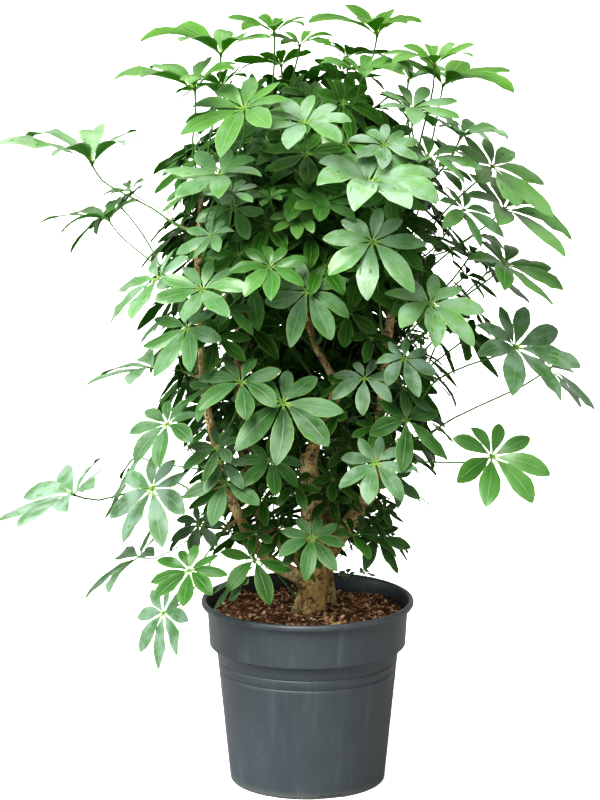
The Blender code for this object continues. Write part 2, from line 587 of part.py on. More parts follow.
def grow_twig(foot, normal, tip, radii=TWIG_RADII):
    """A closed green twig that leaves a surface squarely and bends towards its tip."""
    growth = Growth()
    start = foot + normal * SEAT_GAP
    reach = (tip - start).length
    bend = start + normal * min(reach * TWIG_BEND[0], TWIG_BEND[1])
    rows = []
    for number, radius in enumerate(radii):
        share = number / (len(radii) - 1)
        rest = 1.0 - share
        centre = start * rest ** 2 + bend * (2.0 * rest * share) + tip * share ** 2
        rows.append((centre, radius))
    first, second = across(normal)
    direction = normal
    for index, (centre, radius) in enumerate(rows):
        if index:
            direction = (rows[min(index + 1, len(rows) - 1)][0] - rows[index - 1][0]).normalized()
        first = (first - direction * first.dot(direction)).normalized()
        second = direction.cross(first)
        for side in range(TWIG_SIDES):
            angle = 2.0 * math.pi * (side + 0.5 * (index % 2)) / TWIG_SIDES
            growth.points.append(centre + (first * math.cos(angle) + second * math.sin(angle)) * radius)
    growth.twig_points = len(growth.points)
    for start_index in range(0, (len(rows) - 1) * TWIG_SIDES, TWIG_SIDES):
        shifted = (start_index // TWIG_SIDES) % 2
        for side in range(TWIG_SIDES):
            a = start_index + side
            b = start_index + (side + 1) % TWIG_SIDES
            c, d = a + TWIG_SIDES, b + TWIG_SIDES
            if shifted:
                growth.faces += [(a, b, d), (a, d, c)]
            else:
                growth.faces += [(a, b, c), (b, d, c)]
    last = (len(rows) - 1) * TWIG_SIDES
    for side in range(1, TWIG_SIDES - 1):
        growth.faces.append((0, side + 1, side))
        growth.faces.append((last, last + side, last + side + 1))
    return growth


def pick_socket(growth, used, hub):
    """The free triangle on the twig's upper part that looks most towards the hub."""
    best, best_score = None, -10.0
    taken = {index for socket in used for index in socket}
    for face in growth.faces:
        if max(face) >= growth.twig_points or min(face) < TWIG_SIDES:
            continue
        if taken.intersection(face):
            continue
        a, b, c = (growth.points[index] for index in face)
        out = (b - a).cross(c - a).normalized()
        towards = (hub - (a + b + c) / 3.0).normalized()
        score = out.dot(towards) + TIP_PREFERENCE * min(face)
        if score > best_score:
            best, best_score = face, score
    return best


def leaf_trials(leaf, chance):
    """The leaf as listed, then small changes of place, turn, tilt and size to try in order."""
    x, y, z, length, count, faces_right, rise = leaf[:7]
    own_turn = chance.uniform(0.0, 360.0 / count)
    yield leaf, own_turn
    for attempt in range(TRIALS):
        spread = FIRST_SPREAD + (LAST_SPREAD - FIRST_SPREAD) * attempt / TRIALS
        size = 1.0 - MOST_SHRINK * attempt / TRIALS
        shift = [chance.uniform(-spread, spread) for _ in range(3)]
        tilt = [chance.uniform(-spread, spread) * TILT_PER_SPREAD for _ in range(2)]
        yield (x + shift[0], y + shift[1] * DEPTH_FREEDOM, z + shift[2], length * size, count,
               faces_right + tilt[0], rise + tilt[1], *leaf[7:]), chance.uniform(0.0, 360.0 / count)


def grow_leaf(shoot, leaf, others, chance):
    """Add one leaf to a shoot where it clears everything else; returns whether it found room."""
    for trial, turn in leaf_trials(leaf, chance):
        hub = Vector(trial[:3])
        axes = leaf_axes(trial[5], trial[6])
        socket = pick_socket(shoot["growth"], shoot["sockets"], hub)
        if socket is None:
            return False
        attempt = shoot["growth"].copy()
        ring = attempt.grow_stalk(socket, hub, axes[0], shoot["stalk_radius"])
        attempt.grow_leaflets(ring, hub, trial, turn, axes)
        new_faces = attempt.faces[len(shoot["growth"].faces) - 1:]
        everything = solid_of(attempt.points, new_faces)
        free_part = solid_of(attempt.points, new_faces[FACES_AT_SOCKET:])
        if touches(everything, others) or touches(free_part, shoot["solids"][:1] + shoot["free"]):
            continue
        if crosses_itself(attempt, len(shoot["growth"].faces) - 1):
            continue
        shoot["growth"] = attempt
        shoot["sockets"].append(socket)
        shoot["solids"].append(everything)
        shoot["free"].append(free_part)
        return True
    return False


def rear_leaves(turn, height):
    """Leaves of a rear shoot, set on the outside of the crown."""
    leaves = []
    for side_turn, climb, share in REAR_LEAVES:
        level = height + climb
        reach = crown_reach(level) * share
        angle = math.radians(turn + side_turn * CROWN_FULL_REACH / crown_reach(level))
        x = CROWN_AXIS[0] + reach * math.sin(angle)
        y = CROWN_AXIS[1] - reach * math.cos(angle)
        (low, low_rise), (high, high_rise) = REAR_RISES
        rise = low_rise + (high_rise - low_rise) * max(level - low, 0.0) / (high - low)
        length = REAR_LEAFLET[0] * (1.0 - REAR_LEAFLET[1] * (1.0 - share))
        leaves.append((x, y, level, length, REAR_COUNT, turn + side_turn, rise))
    return leaves


def crown_reach(height):
    """Radius of the crown's leaf hubs at a height."""
    for (low, reach), (high, next_reach) in zip(CROWN_REACH, CROWN_REACH[1:]):
        if height <= high:
            share = max(height - low, 0.0) / (high - low)
            return reach + (next_reach - reach) * share
    return CROWN_REACH[-1][1]


def inner_leaves(base, tip):
    """Smaller leaves round the end of a front shoot's twig."""
    lean = math.degrees(math.atan2(tip.x - base.x, base.y - tip.y))
    leaves = []
    for turn, reach, climb, length, count in INNER_LEAVES:
        angle = math.radians(lean + turn)
        hub = tip + Vector((math.sin(angle) * reach, -math.cos(angle) * reach, climb))
        side_reach = crown_reach(hub.z) * INNER_SIDE_REACH
        hub.x = min(max(hub.x, -side_reach), side_reach)
        leaves.append((*hub, length, count, lean + turn, INNER_RISE))
    return leaves


def shoot_list():
    shoots = [(stem, height, list(leaves)) for stem, height, leaves in FRONT_SHOOTS]
    for stem, height, turn, level in REAR_SHOOTS:
        shoots.append((stem, height, rear_leaves(turn, level)))
    return shoots


def seat_twig(stem_tree, centre, towards):
    """Where a twig aimed at a point leaves the bark, and the bark's direction there."""
    direction = (towards - centre).normalized()
    start = centre + direction * OUTSIDE_BARK
    place, normal, _, _ = stem_tree.ray_cast(start, -direction)
    return place, normal


def build_shoots(stems, stem_trees, material):
    """Grow all twigs first, then the leaves, so that nothing runs through anything else."""
    chance = random.Random(SEED)
    stem_solids = [((tree, tree), *EVERYWHERE) for tree in stem_trees.values()]
    shoots = []
    for stem, height, leaves in shoot_list():
        tree = stem_trees["rear" if stem.startswith("rear") else "front"]
        centre = point_on_stem(stems[stem], height)
        middle = sum((Vector(leaf[:3]) for leaf in leaves), Vector()) / len(leaves)
        for attempt in range(TWIG_TRIALS):
            shake = Vector([chance.uniform(-1, 1) for _ in range(3)]) * (attempt * TWIG_SHAKE)
            tip = centre.lerp(middle, TWIG_SHARE) - UP * TWIG_DROP + shake
            place, normal = seat_twig(tree, centre, tip)
            growth = grow_twig(place, normal, tip)
            free_part = [face for face in growth.faces if max(face) >= 2 * TWIG_SIDES]
            solid = solid_of(growth.points, free_part)
            if not touches(solid, stem_solids + [shoot["solids"][0] for shoot in shoots]):
                break
        shoots.append({"growth": growth, "place": place, "sockets": [], "leaves": leaves,
                       "inner": inner_leaves(centre, tip) if len(shoots) < len(FRONT_SHOOTS) else [],
                       "solids": [solid_of(growth.points, growth.faces)], "free": [],
                       "stalk_radius": STALK_RADIUS})
    count = 0
    for stage in ("leaves", "inner"):
        for shoot in shoots:
            others = list(stem_solids)
            for other in shoots:
                if other is not shoot:
                    others += other["solids"]
            for leaf in shoot[stage]:
                count += grow_leaf(shoot, leaf, others, chance)
    for number, shoot in enumerate(shoots):
        growth = shoot["growth"]
        add_object(f"shoot_{number + 1:02d}", growth.points, growth.faces, material, shoot["place"])
    print("leaves grown", count)


def build_seedling(soil_tree, material):
    place, normal, _, _ = soil_tree.ray_cast(Vector((*SEEDLING_FOOT, ABOVE_SOIL)), -UP)
    chance = random.Random(SEEDLING_SEED)
    growth = grow_twig(place, normal, Vector(SEEDLING_TOP), SEEDLING_RADII)
    shoot = {"growth": growth, "sockets": [], "solids": [solid_of(growth.points, growth.faces)],
             "free": [], "stalk_radius": SEEDLING_STALK_RADIUS}
    for leaf in SEEDLING_LEAVES:
        grow_leaf(shoot, leaf, [], chance)
    add_object("seedling", shoot["growth"].points, shoot["growth"].faces, material, place)


def build_fallen_leaf(soil_tree, material):
    """A dry leaflet lying on the soil, cupped slightly upwards."""
    start, end = (Vector((x, y, 0.0)) for x, y in FALLEN_LEAF_ENDS)
    side = (end - start).cross(UP).normalized()
    places = [start.lerp(end, along) + side * offset for along, offset in FALLEN_LEAF_EDGE]
    top = max(soil_tree.ray_cast(place + UP * ABOVE_SOIL, -UP)[0].z for place in places)
    base = start.lerp(end, 0.5) + UP * (top + SEAT_GAP)
    points = [place + UP * (base.z + FALLEN_LEAF_CUP) for place in places]
    points += [base, base + UP * FALLEN_LEAF_THICKNESS]
    under, over = len(places), len(places) + 1
    faces = []
    for index in range(len(places)):
        following = (index + 1) % len(places)
        faces.append((under, following, index))
        faces.append((over, index, following))
    add_object("fallen_leaf", points, faces, material, base)


def main():
    clear_scene()
    materials = {name: make_material(name) for name in COLOURS}
    build_pot(materials["pot_plastic"])
    front = build_woody("woody_stem", FRONT_PLANT, materials["bark"])
    rear = build_woody("woody_stem_rear", REAR_PLANT, materials["bark"])
    tools = []
    for rows in (FRONT_PLANT["trunk"][:4], REAR_PLANT["rear"][:4]):
        points, faces = tube(rows, STEM_SIDES, KNOT, STEM_CLEARANCE)
        tools.append(add_object("soil_tool", points, faces, materials["bark"]))
    soil = build_soil(materials["soil_mix"], tools)
    stem_trees = {"front": tree_of(front), "rear": tree_of(rear)}
    build_shoots({**FRONT_PLANT, **REAR_PLANT}, stem_trees, materials["foliage"])
    soil_tree = tree_of(soil)
    build_seedling(soil_tree, materials["foliage"])
    build_fallen_leaf(soil_tree, materials["dry_leaf"])


main()
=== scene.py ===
"""Potted umbrella plant: leaves, stalks, bark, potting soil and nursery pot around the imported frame.

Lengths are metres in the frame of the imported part: the pot stands at the origin, +Z is up and
the front faces -Y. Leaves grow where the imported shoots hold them, and older ones are added deep
in the crown.
"""

import math
import random

import bpy
import numpy as np
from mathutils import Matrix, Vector, noise
from mathutils.bvhtree import BVHTree


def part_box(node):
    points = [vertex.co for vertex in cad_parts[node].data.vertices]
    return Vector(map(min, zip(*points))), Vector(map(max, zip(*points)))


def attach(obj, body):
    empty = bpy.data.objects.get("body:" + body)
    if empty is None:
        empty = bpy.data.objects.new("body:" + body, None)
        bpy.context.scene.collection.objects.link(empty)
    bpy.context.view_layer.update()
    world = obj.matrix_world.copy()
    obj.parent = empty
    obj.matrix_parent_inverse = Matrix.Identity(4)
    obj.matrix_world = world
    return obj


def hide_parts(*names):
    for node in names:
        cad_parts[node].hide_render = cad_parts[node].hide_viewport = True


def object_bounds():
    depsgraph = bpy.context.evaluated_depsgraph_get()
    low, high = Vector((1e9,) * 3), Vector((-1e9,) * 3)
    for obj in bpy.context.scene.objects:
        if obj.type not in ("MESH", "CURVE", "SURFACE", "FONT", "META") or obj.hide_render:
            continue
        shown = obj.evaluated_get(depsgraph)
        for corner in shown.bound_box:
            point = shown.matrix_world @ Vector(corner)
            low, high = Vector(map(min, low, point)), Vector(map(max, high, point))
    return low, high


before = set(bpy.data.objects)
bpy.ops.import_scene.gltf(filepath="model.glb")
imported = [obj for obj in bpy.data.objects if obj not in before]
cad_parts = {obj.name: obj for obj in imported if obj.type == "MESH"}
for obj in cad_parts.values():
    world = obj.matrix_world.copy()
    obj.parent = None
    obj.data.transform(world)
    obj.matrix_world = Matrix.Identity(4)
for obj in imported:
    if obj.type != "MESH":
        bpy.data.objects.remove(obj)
cad_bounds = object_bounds()

MM = 0.001
CM = 0.01
UP = Vector((0.0, 0.0, 1.0))

# --- leaves ---
PETIOLULE_SHARE = 0.09        # the short stalk of a leaflet, as a share of its whole length
PETIOLULE_WIDTH = 0.1         # against the blade's half width
BLADE_ROWS = (0.08, 0.22, 0.4, 0.58, 0.74, 0.87, 0.96, 1.0)
BLADE_COLUMNS = (-1.0, -0.52, 0.0, 0.52, 1.0)
INNER_ROWS = (0.12, 0.38, 0.66, 0.88, 1.0)      # the leaves deep in the crown are made more simply
INNER_COLUMNS = (-1.0, 0.0, 1.0)
BLADE_FULLNESS = 0.74
BLADE_WIDEST = 1.15           # above 1, the blade is widest beyond its middle
BLADE_THICKNESS = 0.45 * MM
BLADE_WIDTH_GAIN = 0.9
LENGTH_GAIN = 1.03
ARCH_EASE = 0.35              # how far a leaflet's arch is eased towards a straight one
SWING_AT_BEND = 0.4           # share of a leaflet's sideways swing that is reached halfway
SEEDLING_WIDTH_GAIN = 1.9
SEEDLING_TRAITS = (0.45, 0.6, 0.0)   # youth, painted sheen and age spots
STALK_SIDES = 7
STALK_POINTS = 9
STALK_RADII = (1.9 * MM, 1.25 * MM, 1.1 * MM, 1.4 * MM)   # at the twig, beyond it, near the hub, at it
STALK_FLARE = 9.0             # how quickly a stalk thins from its ends
STALK_FULL_REACH = 11 * CM    # a stalk this long has just these radii; others go by their length,
STALK_GAINS = (0.6, 1.1)      # within these shares
TWIG_POINTS = 5
TWIG_STEPS = 12
TWIG_SWELLINGS = (1.12, 0.94, 0.94)   # its radius swells at each third step, where leaves have been
TWIG_SUNK = 2 * MM            # how far its foot goes into the bark
HUB_RADIUS = 2.1 * MM
WIDEST_SHARE = 0.6            # how far out a packed leaflet is widest
LEAFLET_CHANGES = {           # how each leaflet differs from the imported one, in the order drawn
    "width": (0.9, 1.08),
    "swing": (-0.11, 0.11),
    "length": (-0.14, 0.03),
    "hang": (-0.03, 0.09),
    "lean": (-0.05, 0.08),
    "arch": (-0.04, 0.05),
    "fold": (0.12, 0.5),
    "twist": (-0.42, 0.42),
    "cup": (0.1, 0.5),
    "ripple": (0.0, 0.14),
    "sickle": (-0.16, 0.16),
    "youth_and_shade": (-0.09, 0.09),
}
GROWTH_SEED = 5
LEAST_OUTLINE = 16            # a packed leaf's outline has four points for each leaflet,
OUTLINE_LINKS = 5             # and each of them meets no more than this many others
CROWN_AXIS = (0.0, 0.01)      # x and y of the upright line round which the crown grows
COVER_SPREAD = 9 * CM         # leaves this near a leaf's way out of the crown cover it
COVER_START = 2 * CM
FULL_COVER = 5.0
WAY_OUT_RISE = 0.7            # how much the way out of the crown rises
YOUTH_LOW = 0.2               # youth of the leaves in the plant's lower half,
YOUTH_RISE = 0.72             # and how much more of it there is at the top
YOUTH_SPAN = (0.5, 0.48)      # where that rise starts, and over which share of the plant's height
YOUTH_CURVE = 1.3
PAINTED_SHADE_UNDER_COVER = 0.22            # painted shade: how much less of it, so how much darker a green, there is under full cover
YOUTH_CHANGE = (-0.1, 0.12)
FRESH_SHARE = 0.1             # share of the leaves that are new growth anywhere in the crown,
FRESH_GAIN = 0.3              # and how much younger they are
PAINTED_SHEEN_FADE = (0.86, 0.1)      # where the painted sheen starts to fade out, and over which share of the height
PAINTED_SHEEN_CHANGE = (0.05, 0.85)
PAINTED_SHEEN = 0.9                   # how pale the painted sheen makes the leaves outside the crown, below its top

# --- older leaves deep in the crown ---
INNER_COUNT = 340
INNER_SPACING = 3.1 * CM
INNER_DEPTH = (0.12, 0.8)     # share of the crown's reach
INNER_LENGTH = (5.2 * CM, 7.0 * CM)
INNER_CLEAR_HEIGHT = 66 * CM  # below this height they leave the front of the stems in view
INNER_CLEAR_FRONT = 1 * CM
INNER_TRIALS = 12             # places tried for each of them
INNER_RISES = (20.0, 65.0)    # degrees that they face above the level
INNER_LEAFLETS = (6, 7, 8)
INNER_LIFTS = (0.1, 0.4)
# kept low so the deep leaves are dark: older green and painted shade
INNER_YOUTH_AND_SHADE = (0.08, 0.3)
INNER_FOOT = (3.0, 6.0)       # their stalks start at the bark nearest to a place so many cm in and down
CROWN_SHAPE = (               # height, reach
    (0.30, 0.11), (0.45, 0.18), (0.55, 0.21),
    (0.68, 0.21), (0.80, 0.18), (0.88, 0.12),
)

# --- stems ---
STEMS = ("woody_stem", "woody_stem_rear")
BARK_VOXEL = 1.7 * MM
BARK_SMOOTHING = 4
BARK_STRETCH = 0.6            # lumps are longer up the stem than round it
BARK_LUMPS = ((55.0, 0.9 * MM), (140.0, 0.55 * MM), (330.0, 0.3 * MM))   # noise scale, height

# --- pot: outlines are (radius, height) in millimetres, at this size ---
POT_HEIGHT = 236.5
POT_RADIUS = 135.0
POT_FOOT_RADIUS = 98.5
POT_WALL_TOP = (115.0, 166.0)         # where the straight, slanting wall ends
POT_WALL_THICKNESS = 2.2
POT_UNDERSIDE = ((0.0, 1.2), (84.0, 1.2), (85.2, 0.0), (96.3, 0.0), (97.7, 0.4), (98.5, 1.4))
POT_WALL_HEIGHTS = (4.9, 5.2, 12.0, 30.0, 60.0, 90.0, 120.0, 140.0)
POT_GROOVE_HEIGHTS = (146.0, 159.0)
POT_SHOULDER = (
    (115.1, 165.2), (115.3, 167.0), (115.9, 169.5), (117.1, 172.2), (118.7, 174.5),
    (120.6, 176.2), (122.6, 177.3), (123.9, 177.8), (124.6, 178.7), (124.7, 180.0),
)
POT_COLLAR = ((124.9, 183.0), (125.8, 200.0), (127.0, 218.0), (128.3, 226.2), (128.8, 227.8))
POT_RIM = (
    (130.2, 228.4), (132.6, 228.3), (133.8, 228.7), (134.6, 229.9), (135.0, 231.8),
    (134.8, 233.8), (134.0, 235.4), (132.6, 236.3), (131.0, 236.5), (129.8, 236.0),
    (128.7, 234.8), (127.8, 232.5), (126.8, 227.5),
)
POT_INSIDE = ((125.8, 220.0), (123.6, 195.0), (122.6, 181.0), (113.8, 175.5), (112.8, 166.0))
POT_INSIDE_HEIGHTS = (120.0, 60.0, 6.5)
POT_FLOOR = ((92.5, 4.8), (0.0, 4.8))
POT_SIDES = 144
POT_SHARP_ANGLE = math.radians(50.0)
POT_NICK_TURNS = (17.0, 137.0, 257.0)
POT_NICK_WIDTH = 31 * MM
POT_NICK_HEIGHT = 5 * MM
POT_NICK_DEPTH = 1.5 * MM
POT_NICK_START = 90 * MM              # notches are cut only beyond this radius

# --- soil ---
SOIL_RINGS = 60
SOIL_SIDES = 180
SOIL_LUMPS = ((60.0, 7.5 * MM), (150.0, 4.5 * MM), (340.0, 2.2 * MM))   # noise scale, height
SOIL_READ_SHARE = 0.985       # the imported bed's height is read this share of the way out,
SOIL_LEAST_TOP = 190 * MM     # and if nothing above this is met there,
SOIL_USUAL_TOP = 214 * MM     # this height stands in for it
SOIL_SKIN = 0.5 * MM          # how far its top is lowered and its side drawn in
SOIL_CENTRE_SUNK = 2 * MM
SOIL_WAIST = (111.5 * MM, 170 * MM)   # radius and height where its side turns in with the pot
SOIL_FOOT_RADIUS = 96 * MM
HOLLOW_MARGIN = 3 * MM
HOLLOW_DEPTH = 1 * MM
FALLEN_LEAF_RISE = 4 * MM     # the dry leaflet sits this much higher than packed, its rear edge raised
FALLEN_LEAF_TILT = math.radians(38.0)
FALLEN_LEAF_HALF_WIDTH = 6.5 * MM
CRUMB_DENSITY = 17000.0       # for each square metre
CRUMB_SIZES = ((0.8 * MM, 0.6 * MM, 0.4 * MM), (5.6 * MM, 3.6 * MM, 2.4 * MM))   # smallest, largest
FIBRE_DENSITY = 24000.0
FIBRE_SIZES = ((5.0 * MM, 5.0 * MM, 4.0 * MM), (17.0 * MM, 17.0 * MM, 10.0 * MM))
FIBRE_RADIUS = 0.06           # against half its length
LEAN_CHANGE = 0.35
HALF_TURN = 3.14              # crumbs may lie any way up,
QUARTER_TURN = 1.57           # and fibres lie down
LOOSE_SEED = 4
LOOSE_SHAKE = 2.6 * MM        # how far noise pulls chips and fibres out of shape
LOOSE_LEAST_TOP = 205 * MM    # only the bed's top, above this, carries them
LOOSE_MARGIN = 2.5 * MM       # chips and fibres start this far inside the bed's edge

# --- camera and light ---
CAMERA_PLACE = (-0.0096, -4.36, 1.42)
CAMERA_PITCH = 12.003
CAMERA_LENS = 159.9
CAMERA_SENSOR = 36.0
SKY_STRENGTH = 0.34
SKY_COLOUR = (1.0, 1.0, 0.86, 1.0)
LAMPS = (                     # name, direction it shines from, strength, angle that it fills, colour
    ("softbox", (-0.4, -0.6, 1.0), 7.8, 44.0, (1.0, 1.0, 0.94)),
    ("top_light", (-0.1, 0.55, 0.9), 1.1, 45.0, (1.0, 1.0, 0.96)),
    ("left_window", (-1.0, -0.25, 0.4), 2.2, 60.0, (0.84, 0.94, 1.0)),
    ("front_fill", (0.1, -1.0, 0.25), 0.8, 60.0, (1.0, 1.0, 0.9)),
)
BACK_PANEL = ((0.2, 2.6, 1.3), 3.4, 14.0)   # place, size and power of the lit panel behind the plant
PANEL_AIM = Vector((0.0, 0.0, 0.6))
FLOOR_REACH = 40.0
FLOOR_COLOUR = (0.93, 0.93, 0.93)
FLOOR_BOUNCE = (0.28, 0.28, 0.28)   # the floor throws back less light than it shows
FLOOR_GLOW = (0.5, 0.5, 0.5)  # lightens the shadow on it


# ---------------------------------------------------------------- nodes

def arithmetic(operation, reflected=False):
    """A Term's method for one operator; a reflected one has the other value first."""
    def apply(self, other=None):
        first, second = (other, self) if reflected else (self, other)
        return self.wiring.maths(operation, first, second)
    return apply


class Term:
    """One output in a node tree, ready for ordinary arithmetic."""

    def __init__(self, wiring, socket):
        self.wiring = wiring
        self.socket = socket

    @property
    def is_vector(self):
        return self.socket.type in ("VECTOR", "RGBA")

    __add__ = arithmetic("ADD")
    __radd__ = arithmetic("ADD", reflected=True)
    __sub__ = arithmetic("SUBTRACT")
    __rsub__ = arithmetic("SUBTRACT", reflected=True)
    __mul__ = arithmetic("MULTIPLY")
    __truediv__ = arithmetic("DIVIDE")
    __gt__ = arithmetic("GREATER_THAN")
    __lt__ = arithmetic("LESS_THAN")
    __abs__ = arithmetic("ABSOLUTE")


class Wiring:
    """Adds nodes to one tree. A value may be a number, a tuple or a Term."""

    def __init__(self, tree):
        self.tree = tree

    def feed(self, socket, value):
        if isinstance(value, Term):
            self.tree.links.new(value.socket, socket)
        elif socket.type == "RGBA" and len(value) == 3:
            socket.default_value = (*value, 1.0)
        else:
            socket.default_value = value

    def node(self, kind, settings=None, values=None, out=0):
        """Add a node: its settings first, then its sockets; returns the wanted output."""
        made = self.tree.nodes.new(kind)
        for name, value in (settings or {}).items():
            if name == "stops":
                self.set_stops(made.color_ramp, value)
            else:
                setattr(made, name, value)
        for key, value in (values or {}).items():
            self.feed(made.inputs[key], value)
        return Term(self, made.outputs[out])

    @staticmethod
    def set_stops(ramp, stops):
        while len(ramp.elements) < len(stops):
            ramp.elements.new(1.0)
        for element, (place, colour) in zip(ramp.elements, stops):
            element.position = place
            element.color = (*colour, 1.0)

    def maths(self, operation, first, second=None):
        """A Math node for numbers, or a Vector Math node where either value is a vector."""
        vectors = [self.holds_vector(value) for value in (first, second)]
        if operation == "MULTIPLY" and any(vectors) and not all(vectors):
            vector, scale = (first, second) if vectors[0] else (second, first)
            return self.node("ShaderNodeVectorMath", {"operation": "SCALE"}, {0: vector, 3: scale})
        kind = "ShaderNodeVectorMath" if any(vectors) else "ShaderNodeMath"
        values = {0: first} if second is None else {0: first, 1: second}
        return self.node(kind, {"operation": operation}, values)

    @staticmethod
    def holds_vector(value):
        return value.is_vector if isinstance(value, Term) else isinstance(value, (tuple, Vector))

    def cross(self, first, second):
        return self.maths("CROSS_PRODUCT", first, second)

    def unit(self, vector):
        return self.maths("NORMALIZE", vector)

    def sine(self, value):
        return self.maths("SINE", value)

    def cosine(self, value):
        return self.maths("COSINE", value)

    def least(self, first, second):
        return self.maths("MINIMUM", first, second)

    def part(self, vector, axis):
        return self.node("ShaderNodeSeparateXYZ", values={0: vector}, out=axis)

    def step(self, value, low, high, start=0.0, end=1.0):
        """Smoothly from start to end while the value goes from low to high."""
        return self.node("ShaderNodeMapRange", {"interpolation_type": "SMOOTHSTEP"},
                         {0: value, 1: low, 2: high, 3: start, 4: end})

    def mix(self, share, first, second):
        """Blend two colours; a share of 0 keeps the first."""
        return self.node("ShaderNodeMix", {"data_type": "RGBA"}, {0: share, 6: first, 7: second}, out=2)

    def ramp(self, value, stops):
        return self.node("ShaderNodeValToRGB", {"stops": stops}, {0: value})

    def grain(self, place, scale, detail=3.0, roughness=0.55, out=0):
        return self.node("ShaderNodeTexNoise", {},
                         {"Vector": place, "Scale": scale, "Detail": detail, "Roughness": roughness}, out)

    def cells(self, place, scale, feature="F1"):
        return self.node("ShaderNodeTexVoronoi", {"feature": feature}, {"Vector": place, "Scale": scale})

    def bump(self, height, distance, strength=1.0):
        return self.node("ShaderNodeBump", {},
                         {"Height": height, "Distance": distance, "Strength": strength})

    def stored(self, name, kind="FLOAT_VECTOR"):
        """A named attribute in a geometry tree."""
        return self.node("GeometryNodeInputNamedAttribute", {"data_type": kind}, {"Name": name})

    def geometry(self, kind, **values):
        """A geometry node, with its inputs by name."""
        named = {name.replace("_", " "): value for name, value in values.items()}
        return self.node(f"GeometryNode{kind}", {}, named)

    def joined(self, *parts):
        whole = self.node("GeometryNodeJoinGeometry")
        for part in parts:
            self.tree.links.new(part.socket, whole.socket.node.inputs[0])
        return whole

    def deliver(self, geometry):
        """Make this the tree's result."""
        leaving = self.tree.nodes.new("NodeGroupOutput")
        self.tree.links.new(geometry.socket, leaving.inputs[0])
        return self.tree


class Finish:
    """A material being made: its tree's wiring, the shader's sockets and the piece's own coordinates."""

    def __init__(self, name):
        self.material = bpy.data.materials.new(name)
        self.material.use_nodes = True
        tree = self.material.node_tree
        self.wiring = Wiring(tree)
        self.shader = tree.nodes["Principled BSDF"]
        self.output = tree.nodes["Material Output"]
        self.place = self.wiring.node("ShaderNodeTexCoord", out=3)

    def grain(self, scale, *how, **which):
        """Noise over the piece's own coordinates."""
        return self.wiring.grain(self.place, scale, *how, **which)

    def attribute(self, name, out="Vector"):
        return self.wiring.node("ShaderNodeAttribute", {"attribute_name": name}, out=out)

    def set(self, **values):
        for name, value in values.items():
            self.wiring.feed(self.shader.inputs[name.replace("_", " ")], value)

    def let_light_through(self, share, colour):
        """Mix in light that passes through a thin blade."""
        tree = self.wiring.tree
        through = self.wiring.node("ShaderNodeBsdfTranslucent", values={"Color": colour})
        mixed = self.wiring.node("ShaderNodeMixShader", values={
            0: share, 1: Term(self.wiring, self.shader.outputs[0]), 2: through})
        tree.links.new(mixed.socket, self.output.inputs["Surface"])


# ---------------------------------------------------------------- finishes

def leaf_finish():
    """Glossy leaflets: pale midrib and rim, faint side veins, fresher on young leaves, matt underneath, with
    painted shade deep in the crown, painted sheen on outer leaves and painted shading across each blade.
    """
    finish = Finish("umbrella_leaf")
    w = finish.wiring
    place = finish.attribute("place")
    across, along, side = (w.part(place, axis) for axis in range(3))
    traits = finish.attribute("traits")
    youth_and_shade, painted_sheen, age = (w.part(traits, axis) for axis in range(3))

    blade = w.step(along, PETIOLULE_SHARE, PETIOLULE_SHARE + 0.06)
    from_rib = abs(across)
    rib = w.step(from_rib, 0.025, 0.085, 1.0, 0.0) * w.step(along, 0.75, 1.0, 1.0, 0.2)
    veins = w.sine((along * 62.0) - from_rib * 9.0 + finish.grain(60.0) * 2.0)
    vein_lines = w.step(veins, 0.72, 1.0) * w.step(from_rib, 0.9, 0.6)
    rim = w.step(from_rib, 0.88, 1.0)
    mottle = finish.grain(38.0, 4.0)
    speckle = finish.grain(420.0, 2.0)

    # low values carry painted shade from cover as well as old green; the pale stop at 0.6 is partly young
    # green, partly painted sheen
    green = w.ramp(youth_and_shade + (mottle - 0.5) * 0.22, (
        (0.0, (0.004, 0.034, 0.001)), (0.2, (0.018, 0.105, 0.006)), (0.4, (0.047, 0.188, 0.023)),
        (0.6, (0.125, 0.320, 0.065)), (0.8, (0.058, 0.190, 0.006)), (1.0, (0.032, 0.125, 0.001))))
    # painted shading: darker by the rib, lighter towards the edges and the tip
    painted_shading = w.step(from_rib, 0.1, 0.9) * 0.22 + w.step(along, 0.5, 1.0) * 0.08
    green = w.mix(painted_shading, green, (0.22, 0.42, 0.11))
    # painted sheen: pale bluish-white patches over the mottle, on leaves outside the crown
    green = w.mix(painted_sheen * w.step(mottle, 0.38, 0.62, 0.3, 1.0), green, (0.40, 0.53, 0.47))
    green = w.mix(rib * 0.5, green, (0.28, 0.47, 0.14))
    green = w.mix(vein_lines * 0.14, green, (0.16, 0.36, 0.10))
    green = w.mix(rim * 0.6, green, (0.30, 0.50, 0.16))
    green = w.mix((speckle > 0.72) * 0.1, green, (0.2, 0.35, 0.1))
    under = w.mix(0.75, green, (0.060, 0.22, 0.010))
    colour = w.mix(w.step(side, 0.3, 0.7), under, green)
    colour = w.mix(blade, (0.26, 0.44, 0.10), colour)
    spots = w.step(finish.grain(150.0, 2.0) + age * 0.3, 0.98, 1.02)
    colour = w.mix(spots, colour, (0.42, 0.30, 0.14))

    roughness = w.step(side, 0.3, 0.7, 0.6, 0.25) + mottle * 0.12 + rib * 0.1
    height = rib * -1.0 + vein_lines * -0.25 + mottle * 0.5
    finish.set(Base_Color=colour, Roughness=roughness, Normal=w.bump(height, 0.35 * MM, 0.8))
    full_grown = w.step(youth_and_shade, 0.18, 0.4, 0.05, 1.0) * w.step(youth_and_shade, 0.62, 0.8, 1.0, 0.08)
    shine = full_grown * w.step(side, 0.3, 0.7)
    finish.set(Specular_IOR_Level=0.12, Coat_Weight=shine, Coat_Roughness=0.3, Coat_IOR=1.55)
    finish.let_light_through(0.42, w.mix(youth_and_shade, (0.03, 0.16, 0.006), (0.20, 0.44, 0.01)))
    return finish.material


